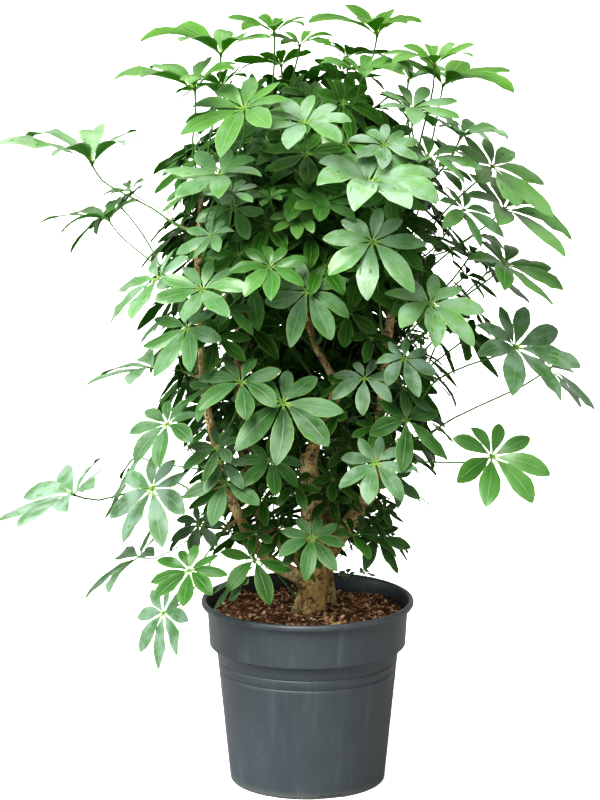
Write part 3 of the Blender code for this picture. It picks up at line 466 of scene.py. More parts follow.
def stalk_finish():
    """Stalks and twigs: green where young, corky brown with pale marks near the wood."""
    finish = Finish("leaf_stalk")
    w = finish.wiring
    tint = finish.attribute("tint", "Fac")
    streaks = w.grain(finish.place * (900.0, 900.0, 120.0), 1.0, 3.0)
    green = w.mix(streaks, (0.030, 0.095, 0.010), (0.075, 0.185, 0.025))
    cork = w.mix(streaks, (0.10, 0.065, 0.03), (0.26, 0.19, 0.10))
    colour = w.mix(w.step(tint + (streaks - 0.5) * 0.5, 0.2, 0.6), cork, green)
    finish.set(Base_Color=colour, Roughness=0.5 + streaks * 0.2, Normal=w.bump(streaks, 0.3 * MM, 0.6))
    return finish.material


def bark_finish():
    """Tan, cracked bark with painted shade in its hollows and cracks, pale leaf scars and greener young
    stems.
    """
    finish = Finish("woody_bark")
    w = finish.wiring
    stretched = finish.place * (1.0, 1.0, 0.4) + finish.grain(45.0, out=1) * 0.02
    cracks = w.cells(stretched, 190.0, "DISTANCE_TO_EDGE")
    crack_lines = w.step(cracks, 0.02, 0.14, 1.0, 0.0) * w.step(finish.grain(60.0), 0.4, 0.6)
    patches = finish.grain(34.0, 5.0, 0.6)
    fine = w.grain(finish.place * (1.0, 1.0, 0.5), 520.0, 4.0, 0.65)
    height = w.part(finish.place, 2)
    rings = w.sine(height * 480.0 + finish.grain(30.0) * 10.0)
    gaps = w.step(finish.grain(80.0), 0.44, 0.54)
    scars = w.step(rings, 0.8, 0.96) * gaps * w.step(height, 0.3, 0.42)
    knots = w.step(finish.grain(75.0, 2.0), 0.55, 0.7)
    colour = w.ramp(patches, ((0.3, (0.20, 0.12, 0.04)), (0.48, (0.58, 0.39, 0.16)),
                              (0.66, (0.95, 0.76, 0.44))))
    # painted shade: darker where the fine grain of the bump is low
    colour = w.mix(w.step(fine, 0.3, 0.7), w.mix(0.55, colour, (0.09, 0.05, 0.02)), colour)
    colour = w.mix(knots * 0.7, colour, (0.16, 0.09, 0.035))
    # painted shade: near black in the cracks
    colour = w.mix(crack_lines * 0.85, colour, (0.035, 0.02, 0.01))
    colour = w.mix(scars * 0.7, colour, (0.66, 0.53, 0.36))
    young = w.step(height, 0.46, 0.75)
    colour = w.mix(young * 0.55, colour, (0.13, 0.13, 0.045))
    lumps = fine * 0.6 - crack_lines * 0.7 + scars * 0.5 + patches * 0.8 - knots * 0.6
    finish.set(Base_Color=colour, Roughness=0.7 + fine * 0.2, Normal=w.bump(lumps, 2.6 * MM))
    finish.set(Specular_IOR_Level=0.3)
    return finish.material


def plastic_finish():
    """Slate-grey moulded plastic with fine texture, pale specks of dust and faint scuffs."""
    finish = Finish("slate_pot_plastic")
    w = finish.wiring
    cloud = finish.grain(9.0, 4.0)
    fine = finish.grain(1500.0, 2.0)
    streaks = w.grain(finish.place * (60.0, 60.0, 6.0), 1.0, 4.0)
    dusty = w.step(finish.grain(21.0), 0.5, 0.62)
    specks = w.step(w.cells(finish.place, 260.0), 0.12, 0.06) * dusty
    height = w.part(finish.place, 2)
    colour = w.ramp(cloud, ((0.3, (0.029, 0.038, 0.047)), (0.7, (0.039, 0.049, 0.059))))
    colour = w.mix(w.step(streaks, 0.5, 0.8) * 0.3, colour, (0.11, 0.13, 0.14))
    colour = w.mix(specks * 0.55, colour, (0.36, 0.37, 0.36))
    colour = w.mix(w.step(height, 0.012, 0.0) * 0.3, colour, (0.2, 0.19, 0.17))
    roughness = 0.36 + cloud * 0.14 + specks * 0.2
    finish.set(Base_Color=colour, Roughness=roughness, Normal=w.bump(fine + streaks * 0.5, 0.12 * MM, 0.5))
    finish.set(Specular_IOR_Level=0.5)
    return finish.material


def soil_finish():
    """Damp potting mix of bark and coir, with painted shade in its low places."""
    finish = Finish("potting_mix")
    w = finish.wiring
    coarse = finish.grain(130.0, 6.0, 0.7)
    fine = finish.grain(700.0, 4.0, 0.7)
    # painted shade: darkest where the coarse lumps are low
    colour = w.ramp(coarse, ((0.35, (0.018, 0.008, 0.004)), (0.52, (0.11, 0.052, 0.024)),
                             (0.7, (0.38, 0.21, 0.10))))
    colour = w.mix(w.step(fine, 0.55, 0.75) * 0.5, colour, (0.28, 0.17, 0.09))
    finish.set(Base_Color=colour, Roughness=0.86 + fine * 0.1, Normal=w.bump(coarse + fine * 0.5, 3.0 * MM))
    finish.set(Specular_IOR_Level=0.25)
    return finish.material


def crumb_finish():
    """Bark chips and coir fibres, each with its own brown."""
    finish = Finish("bark_chips")
    w = finish.wiring
    tint = finish.attribute("tint", "Fac")
    fine = finish.grain(900.0, 3.0, 0.7)
    colour = w.ramp(tint, ((0.0, (0.030, 0.012, 0.006)), (0.4, (0.22, 0.095, 0.045)),
                           (0.75, (0.58, 0.31, 0.17)), (1.0, (1.0, 0.78, 0.56))))
    colour = w.mix(w.step(fine, 0.4, 0.7) * 0.45, colour, (0.05, 0.026, 0.014))
    finish.set(Base_Color=colour, Roughness=0.8 + fine * 0.15, Normal=w.bump(fine, 0.8 * MM))
    finish.set(Specular_IOR_Level=0.3)
    return finish.material


def dry_leaf_finish():
    """Papery brown leaflets that have died."""
    finish = Finish("dry_leaflet")
    w = finish.wiring
    place = finish.attribute("place")
    from_rib = abs(w.part(place, 0))
    mottle = finish.grain(160.0, 4.0)
    colour = w.ramp(mottle, ((0.3, (0.20, 0.12, 0.045)), (0.7, (0.48, 0.36, 0.16))))
    colour = w.mix(w.step(from_rib, 0.05, 0.12, 1.0, 0.0) * 0.5, colour, (0.55, 0.42, 0.22))
    finish.set(Base_Color=colour, Roughness=0.7 + mottle * 0.15, Normal=w.bump(mottle, 0.6 * MM))
    finish.let_light_through(0.2, (0.5, 0.34, 0.14))
    return finish.material


# ---------------------------------------------------------------- small helpers

def make_object(name, points, faces, edges=()):
    mesh = bpy.data.meshes.new(name)
    mesh.from_pydata([tuple(point) for point in points], list(edges), faces)
    mesh.update()
    piece = bpy.data.objects.new(name, mesh)
    bpy.context.scene.collection.objects.link(piece)
    return piece


def smooth(piece):
    for face in piece.data.polygons:
        face.use_smooth = True


def store(piece, name, kind, values):
    """Keep one value for each point of a mesh: numbers or vectors."""
    attribute = piece.data.attributes.new(name, kind, "POINT")
    flat = np.asarray(values, dtype=np.float32).ravel()
    attribute.data.foreach_set("vector" if kind == "FLOAT_VECTOR" else "value", flat)


def applied(piece):
    """Turn the object's modifiers into a plain mesh."""
    bpy.context.view_layer.update()
    graph = bpy.context.evaluated_depsgraph_get()
    mesh = bpy.data.meshes.new_from_object(piece.evaluated_get(graph), preserve_all_data_layers=True,
                                           depsgraph=graph)
    piece.modifiers.clear()
    piece.data = mesh
    return piece


def remove(*pieces):
    for piece in pieces:
        bpy.data.objects.remove(piece, do_unlink=True)


def grow_with(piece, tree, **inputs):
    """Run a geometry tree on the object with these inputs, and keep the plain mesh."""
    modifier = piece.modifiers.new(tree.name, "NODES")
    modifier.node_group = tree
    for item in tree.interface.items_tree:
        if item.item_type == "SOCKET" and item.in_out == "INPUT":
            key = item.name.lower().replace(" ", "_")
            if key in inputs:
                modifier[item.identifier] = inputs[key]
    return applied(piece)


def merged_mesh(node):
    """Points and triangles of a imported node, with its loose triangles joined."""
    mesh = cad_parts[node].data
    lookup, points, order = {}, [], []
    for vertex in mesh.vertices:
        key = tuple(round(value * 5e5) for value in vertex.co)
        if key not in lookup:
            lookup[key] = len(points)
            points.append(vertex.co.copy())
        order.append(lookup[key])
    faces = [tuple(order[index] for index in face.vertices) for face in mesh.polygons]
    return points, [face for face in faces if len(set(face)) == len(face)]


def geometry_tree(name, kinds):
    """The wiring of a new geometry tree, and Terms for its geometry and for its named inputs."""
    tree = bpy.data.node_groups.new(name, "GeometryNodeTree")
    tree.interface.new_socket("Geometry", in_out="OUTPUT", socket_type="NodeSocketGeometry")
    tree.interface.new_socket("Geometry", in_out="INPUT", socket_type="NodeSocketGeometry")
    for name, kind in kinds.items():
        tree.interface.new_socket(name, in_out="INPUT", socket_type=f"NodeSocket{kind}")
    w = Wiring(tree)
    given = tree.nodes.new("NodeGroupInput")
    return w, [Term(w, socket) for socket in given.outputs[:len(kinds) + 1]]


# ---------------------------------------------------------------- leaves

def blade_outline(share):
    """Half width of a blade along its length, from 0 to 1."""
    return math.sin(math.pi * share ** BLADE_WIDEST) ** BLADE_FULLNESS if 0.0 < share < 1.0 else 0.0


def leaflet_blank(name, shares, cuts):
    """A flat leaflet, one unit long with its stalk, in cuts across each row and closed at its rim."""
    rows = [(0.0, PETIOLULE_WIDTH * 1.4), (PETIOLULE_SHARE, PETIOLULE_WIDTH)]
    rows += [(PETIOLULE_SHARE + (1.0 - PETIOLULE_SHARE) * share, blade_outline(share)) for share in shares]
    last = len(cuts) - 1
    form, place, rings = [], [], []
    for number, (along, width) in enumerate(rows):
        ring = []
        columns = [(u, 1.0) for u in cuts] + [(u, 0.0) for u in cuts[-2:0:-1]]
        if number == len(rows) - 1:
            ring = [len(form)] * len(columns)
            form.append((0.0, along, 0.0))
            place.append((0.0, along, 0.5))
        else:
            for index, (u, side) in enumerate(columns):
                at_rim = index in (0, last)
                ring.append(len(form))
                form.append((u * width, along, 0.0 if at_rim else (0.5 if side else -0.5)))
                place.append((u, along, side))
        rings.append(ring)
    faces = [tuple(reversed(rings[0]))]
    count = len(rings[0])
    for lower, upper in zip(rings, rings[1:]):
        for index in range(count):
            following = (index + 1) % count
            corners = (lower[index], lower[following], upper[following], upper[index])
            faces.append(tuple(dict.fromkeys(corners)))
    blank = make_object(name, form, faces)
    store(blank, "form", "FLOAT_VECTOR", form)
    store(blank, "place", "FLOAT_VECTOR", place)
    rim = {ring[0] for ring in rings} | {ring[last] for ring in rings}
    for edge in blank.data.edges:
        edge.use_edge_sharp = edge.vertices[0] in rim and edge.vertices[1] in rim
    smooth(blank)
    return blank


def growth_tree():
    """Leaflets and hubs on marked points, and round stalks along the edges of the same mesh."""
    w, (geometry, leaflet, thickness, sides, blade_finish, stalk_material) = geometry_tree("leafy_growth", {
        "Leaflet": "Object", "Thickness": "Float", "Stalk sides": "Int",
        "Blade finish": "Material", "Stalk finish": "Material"})
    kind = w.stored("kind", "FLOAT")

    def marked(selection):
        return w.node("GeometryNodeSeparateGeometry", {"domain": "POINT"}, {0: geometry, 1: selection})

    curves = w.geometry("MeshToCurve", Mesh=marked(kind < 0.5))
    ring = w.geometry("CurvePrimitiveCircle", Resolution=sides, Radius=1.0)
    stalks = w.geometry("CurveToMesh", Curve=curves, Profile_Curve=ring,
                        Scale=w.stored("thickness", "FLOAT"), Fill_Caps=True)

    knob = w.geometry("MeshIcoSphere", Radius=1.0, Subdivisions=2)
    knobs = w.geometry("InstanceOnPoints", Points=marked(kind > 1.5), Instance=knob,
                       Scale=w.stored("thickness", "FLOAT"))
    knobs = w.geometry("RealizeInstances", Geometry=knobs)
    woody = w.geometry("SetMaterial", Geometry=w.joined(stalks, knobs), Material=stalk_material)

    is_leaflet = w.node("FunctionNodeCompare", {"operation": "EQUAL"}, {0: kind, 1: 1.0})
    blank = w.node("GeometryNodeObjectInfo", {}, {"Object": leaflet}, out="Geometry")
    blades = w.geometry("InstanceOnPoints", Points=marked(is_leaflet), Instance=blank)
    blades = w.geometry("RealizeInstances", Geometry=blades)
    blades = w.geometry("SetPosition", Geometry=blades, Position=bent_leaflet(w, thickness))
    blades = w.geometry("SetMaterial", Geometry=blades, Material=blade_finish)

    whole = w.geometry("RealizeInstances", Geometry=w.joined(woody, blades))
    return w.deliver(w.geometry("SetShadeSmooth", Geometry=whole))


def bent_leaflet(w, thickness):
    """Where each point of a flat leaflet goes once it is bent, folded and twisted on its hub."""
    across_form, along, level = (w.part(w.stored("form"), axis) for axis in range(3))
    hub, bend, tip, across = (w.stored(name) for name in ("hub", "bend", "tip", "across"))
    half_width, fold, twist = (w.part(w.stored("blade_a"), axis) for axis in range(3))
    cup, ripple, sickle = (w.part(w.stored("blade_b"), axis) for axis in range(3))
    rest = 1.0 - along
    middle = hub * (rest * rest) + bend * (rest * along * 2.0) + tip * (along * along)
    middle = middle + across * (sickle * along * rest)
    ahead = w.unit((bend - hub) * rest + (tip - bend) * along)
    above = w.unit(w.cross(ahead, across))
    turn = twist * along
    side = across * w.cosine(turn) + above * w.sine(turn)
    normal = w.unit(w.cross(ahead, side))
    spread = abs(across_form)
    waves = w.sine(along * 17.0 + twist * 40.0 + across_form * 2.0) * ripple * spread
    raised = (spread * fold - spread * spread * cup + waves) * half_width + level * thickness
    return middle + side * (across_form * half_width) + normal * raised


def stalk_rings(near, peak, loop):
    """The rings of three points down a leaf's stalk, and last the triangle of the twig it grows from."""
    passed = {peak, *loop}
    ring = set().union(*(near[index] for index in loop)) - passed
    rings = []
    while len(ring) == 3:
        rings.append(ring)
        passed |= ring
        ring = set().union(*(near[index] for index in ring)) - passed
    return rings


def read_shoot(node, foot_distance):
    """The twig and the leaves of a packed shoot, read back from its mesh.

    Returns the twig's rings as (centre, radius) from its foot, and for each leaf its hub, the way
    it faces, the line of its stalk from the twig, and (tip, widest left, widest right) per leaflet.
    """
    points, faces = merged_mesh(node)
    near = [set() for _ in points]
    onward = {}
    for a, b, c in faces:
        near[a] |= {b, c}
        near[b] |= {a, c}
        near[c] |= {a, b}
        onward[(a, b)] = c
        onward[(b, c)] = a
        onward[(c, a)] = b
    peaks = [index for index, others in enumerate(near)
             if len(others) >= LEAST_OUTLINE and max(len(near[other]) for other in others) <= OUTLINE_LINKS]
    used, leaves = set(), []
    for peak in peaks:
        loop = [min(near[peak])]
        while len(loop) < len(near[peak]):
            loop.append(onward[(peak, loop[-1])])
        reach = [(points[index] - points[peak]).length for index in loop]
        start = min(range(4), key=lambda first: sum(reach[first::4]))
        loop = loop[start:] + loop[:start]
        rings = stalk_rings(near, peak, loop)
        used |= {peak, *loop}.union(*rings[:-1])
        stalk = [sum((points[index] for index in ring), Vector()) / 3.0 for ring in rings]
        leaflets = [(points[loop[i + 2]], points[loop[i + 1]], points[loop[i + 3]])
                    for i in range(0, len(loop), 4)]
        hub = (points[peak] + stalk[0]) / 2.0
        leaves.append({"hub": hub, "facing": (points[peak] - stalk[0]).normalized(),
                       "stalk": list(reversed(stalk[1:])) + [hub], "leaflets": leaflets})
    ring = sorted((index for index in range(len(points)) if index not in used),
                  key=lambda index: foot_distance(points[index]))[:TWIG_POINTS]
    passed, twig = set(used), []
    while ring:
        centre = sum((points[index] for index in ring), Vector()) / len(ring)
        twig.append((centre, sum((points[index] - centre).length for index in ring) / len(ring)))
        passed |= set(ring)
        ring = list(set().union(*(near[index] for index in ring)) - passed)
    return twig, leaves


class Growth:
    """Points of one shoot for the geometry tree: lines for stalks, and marks for leaflets and hubs."""

    def __init__(self):
        self.points = []
        self.edges = []
        self.rows = []

    def add_point(self, point, **traits):
        self.points.append(point)
        self.rows.append(traits)

    def add_line(self, places, radii, tints):
        start = len(self.points)
        for place, radius, tint in zip(places, radii, tints):
            self.add_point(place, thickness=radius, tint=tint)
        self.edges += [(index, index + 1) for index in range(start, len(self.points) - 1)]

    def build(self, name, tree, blank, blade_finish, stalk_material):
        piece = make_object(name, self.points, [], self.edges)
        numbers = {"kind": 0.0, "thickness": 0.001, "tint": 0.5}
        vectors = ("hub", "bend", "tip", "across", "blade_a", "blade_b", "traits")
        for key, default in numbers.items():
            store(piece, key, "FLOAT", [row.get(key, default) for row in self.rows])
        for key in vectors:
            store(piece, key, "FLOAT_VECTOR", [tuple(row.get(key, (0.0, 0.0, 0.0))) for row in self.rows])
        grow_with(piece, tree, leaflet=blank, thickness=BLADE_THICKNESS, stalk_sides=STALK_SIDES,
                  blade_finish=blade_finish, stalk_finish=stalk_material)
        for key in ("kind", "form", "hub", "bend", "tip", "across", "blade_a", "blade_b", "thickness"):
            if key in piece.data.attributes:
                piece.data.attributes.remove(piece.data.attributes[key])
        return piece


def clamp(value, low=0.0, high=1.0):
    return min(max(value, low), high)


def share_of(value, span):
    """How far a value has come through a span that is given as its start and length."""
    start, length = span
    return clamp((value - start) / length)


def along_rows(rows, share):
    """Interpolate smoothly through (centre, radius) rows."""
    last = len(rows) - 1
    index = min(int(share * last), last - 1)
    part = share * last - index
    ends = [rows[max(index - 1, 0)], rows[index], rows[index + 1], rows[min(index + 2, last)]]
    weights = (-0.5 * part + part ** 2 - 0.5 * part ** 3, 1.0 - 2.5 * part ** 2 + 1.5 * part ** 3,
               0.5 * part + 2.0 * part ** 2 - 1.5 * part ** 3, -0.5 * part ** 2 + 0.5 * part ** 3)
    centre = sum((row[0] * weight for row, weight in zip(ends, weights)), Vector())
    return centre, rows[index][1] * (1.0 - part) + rows[index + 1][1] * part


def add_twig(growth, rows):
    """The green twig, with slight swellings where leaves have been."""
    places, radii, tints = [], [], []
    for number in range(TWIG_STEPS + 1):
        share = number / TWIG_STEPS
        centre, radius = along_rows(rows, share)
        if number == 0:
            centre = centre - (rows[1][0] - rows[0][0]).normalized() * TWIG_SUNK
        places.append(centre)
        radii.append(radius * TWIG_SWELLINGS[number % len(TWIG_SWELLINGS)])
        tints.append(0.1 + share * 0.75)
    growth.add_line(places, radii, tints)


def add_stalk(growth, leaf):
    """A leaf's long stalk, thicker at both ends."""
    hub = leaf["hub"]
    line = [(place, 0.0) for place in leaf["stalk"]]
    reach = (hub - line[0][0]).length
    base, after, before, end = STALK_RADII
    thick = clamp(reach / STALK_FULL_REACH, *STALK_GAINS)
    places, radii, tints = [], [], []
    for number in range(STALK_POINTS):
        share = number / (STALK_POINTS - 1)
        places.append(along_rows(line, share)[0])
        body = after + (before - after) * share
        radius = max(body, base * (1.0 - share * STALK_FLARE), end * (1.0 - (1.0 - share) * STALK_FLARE))
        radii.append(radius * thick)
        tints.append(0.75 + 0.25 * share)
    growth.add_line(places, radii, tints)
    growth.add_point(hub, kind=2.0, thickness=HUB_RADIUS * thick, tint=1.0)


def add_leaflets(growth, leaf, traits, chance, width_gain=BLADE_WIDTH_GAIN):
    """The leaflets of one leaf, each with its own small bend, fold and twist."""
    hub, facing = leaf["hub"], leaf["facing"]
    youth_and_shade, painted_sheen, age = traits
    rest = 1.0 - WIDEST_SHARE
    for tip, left, right in leaf["leaflets"]:
        change = {name: chance.uniform(*limits) for name, limits in LEAFLET_CHANGES.items()}
        middle = (left + right) / 2.0
        across = (right - left).normalized()
        reach = (tip - hub).length
        spoke = (tip - hub).normalized()
        swing = across * (reach * change["swing"])
        end = tip + spoke * (reach * (LENGTH_GAIN - 1.0 + change["length"])) + swing
        end = end - UP * (reach * change["hang"]) + facing * (reach * change["lean"])
        bend = (middle - hub * rest ** 2 - end * WIDEST_SHARE ** 2) / (2.0 * rest * WIDEST_SHARE)
        bend = bend.lerp((hub + end) / 2.0, ARCH_EASE) + facing * (reach * change["arch"])
        bend = bend + swing * SWING_AT_BEND
        growth.add_point(
            hub, kind=1.0, hub=hub, bend=bend, tip=end, across=across,
            blade_a=((right - left).length / 2.0 * width_gain * change["width"], change["fold"],
                     change["twist"]),
            blade_b=(change["cup"], change["ripple"], reach * change["sickle"]),
            traits=(clamp(youth_and_shade + change["youth_and_shade"]), painted_sheen, age))


def outwards_at(place):
    """The level direction that leads out of the crown."""
    return Vector((place.x - CROWN_AXIS[0], place.y - CROWN_AXIS[1], 0.0)).normalized()


def cover_of(hub, hubs):
    """How deep a leaf sits in the crown: 0 at its outside, 1 well under other leaves."""
    way_out = (outwards_at(hub) + UP * WAY_OUT_RISE).normalized()
    covering = 0
    for other in hubs:
        gap = other - hub
        ahead = gap.dot(way_out)
        if ahead > COVER_START and (gap - way_out * ahead).length < COVER_SPREAD:
            covering += 1
    return min(covering / FULL_COVER, 1.0)


def leaf_traits(hub, cover, chance):
    """Youth (dark old green to yellow-green) lowered by painted shade under cover, a pale painted sheen and
    age spots of a leaf at this place.
    """
    height = hub.z / cad_bounds[1][2]
    # painted shade: a leaf under other leaves is given a darker, older green
    youth_and_shade = YOUTH_LOW + YOUTH_RISE * share_of(height, YOUTH_SPAN) ** YOUTH_CURVE - PAINTED_SHADE_UNDER_COVER * cover
    youth_and_shade += chance.uniform(*YOUTH_CHANGE)
    if chance.random() < FRESH_SHARE:
        youth_and_shade += FRESH_GAIN
    # painted sheen: pale colour on leaves outside the crown, fading out near its top
    open_air = (1.0 - cover) * (1.0 - share_of(height, PAINTED_SHEEN_FADE))
    painted_sheen = open_air * PAINTED_SHEEN * chance.uniform(*PAINTED_SHEEN_CHANGE)
    return clamp(youth_and_shade, 0.04), painted_sheen, chance.random() ** 2


def build_shoots(tree, blank, blade, stalk, bark_tree, soil_tree):
    """Every packed shoot with its twig, stalks and leaflets; returns where the leaves are."""
    chance = random.Random(GROWTH_SEED)
    shoots = {}
    for node in sorted(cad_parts):
        if node.startswith("shoot") or node == "seedling":
            nearest = soil_tree if node == "seedling" else bark_tree
            shoots[node] = read_shoot(node, lambda point: nearest.find_nearest(point)[3])
    hubs = [leaf["hub"] for _, leaves in shoots.values() for leaf in leaves]
    for node, (twig, leaves) in shoots.items():
        growth = Growth()
        add_twig(growth, twig)
        for leaf in leaves:
            traits = leaf_traits(leaf["hub"], cover_of(leaf["hub"], hubs), chance)
            width_gain = BLADE_WIDTH_GAIN
            if node == "seedling":
                traits = SEEDLING_TRAITS
                width_gain = SEEDLING_WIDTH_GAIN
            add_stalk(growth, leaf)
            add_leaflets(growth, leaf, traits, chance, width_gain)
        piece = growth.build(f"{node}_leaves", tree, blank, blade, stalk)
        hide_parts(node)
        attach(piece, "root")
    return hubs


def crown_reach(height):
    """Radius of the crown at a height, or nothing outside it."""
    for (low, reach), (high, next_reach) in zip(CROWN_SHAPE, CROWN_SHAPE[1:]):
        if low <= height <= high:
            return reach + (next_reach - reach) * (height - low) / (high - low)
    return 0.0


def simple_leaf(hub, facing, length, count, lift, turn, foot):
    """A leaf in the form that read_shoot gives, for one that isn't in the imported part."""
    right = facing.cross(-UP).normalized() if abs(facing.z) < 0.99 else Vector((1.0, 0.0, 0.0))
    downhill = right.cross(facing)
    leaflets = []
    for number in range(count):
        angle = turn + 2.0 * math.pi * number / count
        spoke = downhill * math.cos(angle) + right * math.sin(angle)
        side = right * math.cos(angle) - downhill * math.sin(angle)
        reach = length * (0.82 + 0.18 * math.cos(angle))
        middle = hub + (spoke + facing * lift) * (reach * WIDEST_SHARE)
        tip = hub + spoke * reach + facing * (reach * (lift * 0.6 - 0.05)) - UP * (reach * 0.04)
        leaflets.append((tip, middle - side * (reach * 0.2), middle + side * (reach * 0.2)))
    below = hub - facing * ((hub - foot).length * 0.25)
    stalk = [foot, foot.lerp(below, 0.5), below, hub]
    return {"hub": hub, "facing": facing, "stalk": stalk, "leaflets": leaflets}


def build_inner_leaves(tree, blank, blade, stalk, bark_tree, hubs):
    """Older leaves deep in the crown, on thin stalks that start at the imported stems' surface."""
    chance = random.Random(GROWTH_SEED + 1)
    growth = Growth()
    taken = list(hubs)
    low, high = CROWN_SHAPE[0][0], CROWN_SHAPE[-1][0]
    inwards, down = INNER_FOOT
    for _ in range(INNER_COUNT * INNER_TRIALS):
        height = chance.uniform(low, high)
        turn = chance.uniform(0.0, 2.0 * math.pi)
        out = Vector((math.sin(turn), math.cos(turn), 0.0))
        reach = crown_reach(height) * chance.uniform(*INNER_DEPTH)
        hub = Vector((*CROWN_AXIS, height)) + out * reach
        before_stems = height < INNER_CLEAR_HEIGHT and hub.y < INNER_CLEAR_FRONT
        if before_stems or min((hub - other).length for other in taken) < INNER_SPACING:
            continue
        rise = math.radians(chance.uniform(*INNER_RISES))
        facing = out * math.cos(rise) + UP * math.sin(rise)
        foot = bark_tree.find_nearest(hub - UP * down * CM - out * inwards * CM)[0]
        leaf = simple_leaf(hub, facing, chance.uniform(*INNER_LENGTH), chance.choice(INNER_LEAFLETS),
                           chance.uniform(*INNER_LIFTS), chance.uniform(0.0, 1.0), foot)
        add_stalk(growth, leaf)
        add_leaflets(growth, leaf, (chance.uniform(*INNER_YOUTH_AND_SHADE), 0.0, chance.random() ** 2), chance)
        taken.append(hub)
        if len(taken) == len(hubs) + INNER_COUNT:
            break
    piece = growth.build("inner_crown_leaves", tree, blank, blade, stalk)
    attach(piece, "root")


def build_fallen_leaf(tree, blank, dry):
    """The dry leaflet on the soil, a little above where it was packed and tilted forwards."""
    low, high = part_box("fallen_leaf")
    points, _ = merged_mesh("fallen_leaf")
    start = min(points, key=lambda point: point.x)
    end = max(points, key=lambda point: point.x)
    propped = UP * FALLEN_LEAF_RISE
    middle = (low + high) / 2.0 + propped
    level = (end - start).cross(UP).normalized()
    across = (level * math.cos(FALLEN_LEAF_TILT) - UP * math.sin(FALLEN_LEAF_TILT)).normalized()
    growth = Growth()
    growth.add_point(start, kind=1.0, hub=start + propped, bend=middle, tip=end + propped, across=across,
                     blade_a=(FALLEN_LEAF_HALF_WIDTH, 0.3, 0.3), blade_b=(0.1, 0.2, 1.5 * MM),
                     traits=(0.0, 0.0, 0.5))
    piece = growth.build("fallen_leaflet", tree, blank, dry, dry)
    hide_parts("fallen_leaf")
    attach(piece, "root")


# ---------------------------------------------------------------- stems

def build_stem(node, finish):
    """Woody stems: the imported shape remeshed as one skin, with lumps and knots in the bark."""
    points, faces = merged_mesh(node)
    piece = make_object(f"{node}_bark", points, faces)
    skin = piece.modifiers.new("one_skin", "REMESH")
    skin.mode = "VOXEL"
    skin.voxel_size = BARK_VOXEL
    soften = piece.modifiers.new("soften", "SMOOTH")
    soften.iterations = BARK_SMOOTHING
    applied(piece)
    moves = []
    for vertex in piece.data.vertices:
        spot = Vector((vertex.co.x, vertex.co.y, vertex.co.z * BARK_STRETCH))
        lump = sum(noise.noise(spot * scale) * height for scale, height in BARK_LUMPS)
        moves.append(vertex.co + vertex.normal * lump)
    for vertex, place in zip(piece.data.vertices, moves):
        vertex.co = place
    piece.data.materials.clear()
    piece.data.materials.append(finish)
    smooth(piece)
    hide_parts(node)
    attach(piece, "root")


# ---------------------------------------------------------------- pot and soil

def lathe_faces(sides, rings, turned_over=False):
    """Faces of a closed round shape: a first point, rings with so many sides, and a last point."""
    last = 1 + sides * rings
    faces = []
    for number in range(sides):
        following = (number + 1) % sides
        faces.append((0, 1 + following, 1 + number))
        faces.append((last, last - sides + number, last - sides + following))
        for start in range(1, last - sides, sides):
            a, b = start + number, start + following
            faces.append((a, b, b + sides, a + sides))
    if turned_over:
        faces = [(first, *reversed(others)) for first, *others in faces]
    return faces


def pot_wall(height):
    """Radius of the pot's slanting wall, outside."""
    top_radius, top_height = POT_WALL_TOP
    return POT_FOOT_RADIUS + (top_radius - POT_FOOT_RADIUS) * height / top_height


def pot_profile(height, radius):
    """(radius, height) rows of a pot of this size, up its outside to the rim and down inside."""
    rows = [*POT_UNDERSIDE, *((pot_wall(level), level) for level in POT_WALL_HEIGHTS)]
    for middle in POT_GROOVE_HEIGHTS:
        rows += [(pot_wall(middle - 1.6), middle - 1.6), (pot_wall(middle) - 0.5, middle - 0.8),
                 (pot_wall(middle) - 0.9, middle), (pot_wall(middle) - 0.5, middle + 0.8),
                 (pot_wall(middle + 1.6), middle + 1.6)]
    rows += [*POT_SHOULDER, *POT_COLLAR, *POT_RIM, *POT_INSIDE]
    rows += [(pot_wall(level) - POT_WALL_THICKNESS, level) for level in POT_INSIDE_HEIGHTS]
    rows += POT_FLOOR
    return [(across * radius / POT_RADIUS, level * height / POT_HEIGHT) for across, level in rows]


def build_pot(finish):
    """The turned pot with its real wall, and three shallow notches round its foot."""
    low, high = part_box("pot")
    profile = pot_profile(high.z, (high.x - low.x) / 2.0)
    points = [Vector((0.0, 0.0, profile[0][1]))]
    for radius, height in profile[1:-1]:
        for number in range(POT_SIDES):
            turn = 2.0 * math.pi * number / POT_SIDES
            turns_off = [math.remainder(turn - math.radians(nick), 2.0 * math.pi) for nick in POT_NICK_TURNS]
            in_nick = min(abs(off) for off in turns_off) * radius < POT_NICK_WIDTH / 2.0
            nicked = in_nick and height <= POT_NICK_HEIGHT and radius > POT_NICK_START
            reach = radius - (POT_NICK_DEPTH if nicked else 0.0)
            points.append(Vector((math.sin(turn) * reach, -math.cos(turn) * reach, height)))
    points.append(Vector((0.0, 0.0, profile[-1][1])))
    pot = make_object("nursery_pot", points, lathe_faces(POT_SIDES, len(profile) - 2))
    pot.data.materials.append(finish)
    smooth(pot)
    pot.data.set_sharp_from_angle(angle=POT_SHARP_ANGLE)
    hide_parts("pot")
    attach(pot, "root")


def under_fallen_leaf(x, y):
    """Whether this place on the soil is under the dry leaflet, where the bed is kept low and bare."""
    low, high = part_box("fallen_leaf")
    return (low.x - HOLLOW_MARGIN < x < high.x + HOLLOW_MARGIN
            and low.y - HOLLOW_MARGIN < y < high.y + HOLLOW_MARGIN)


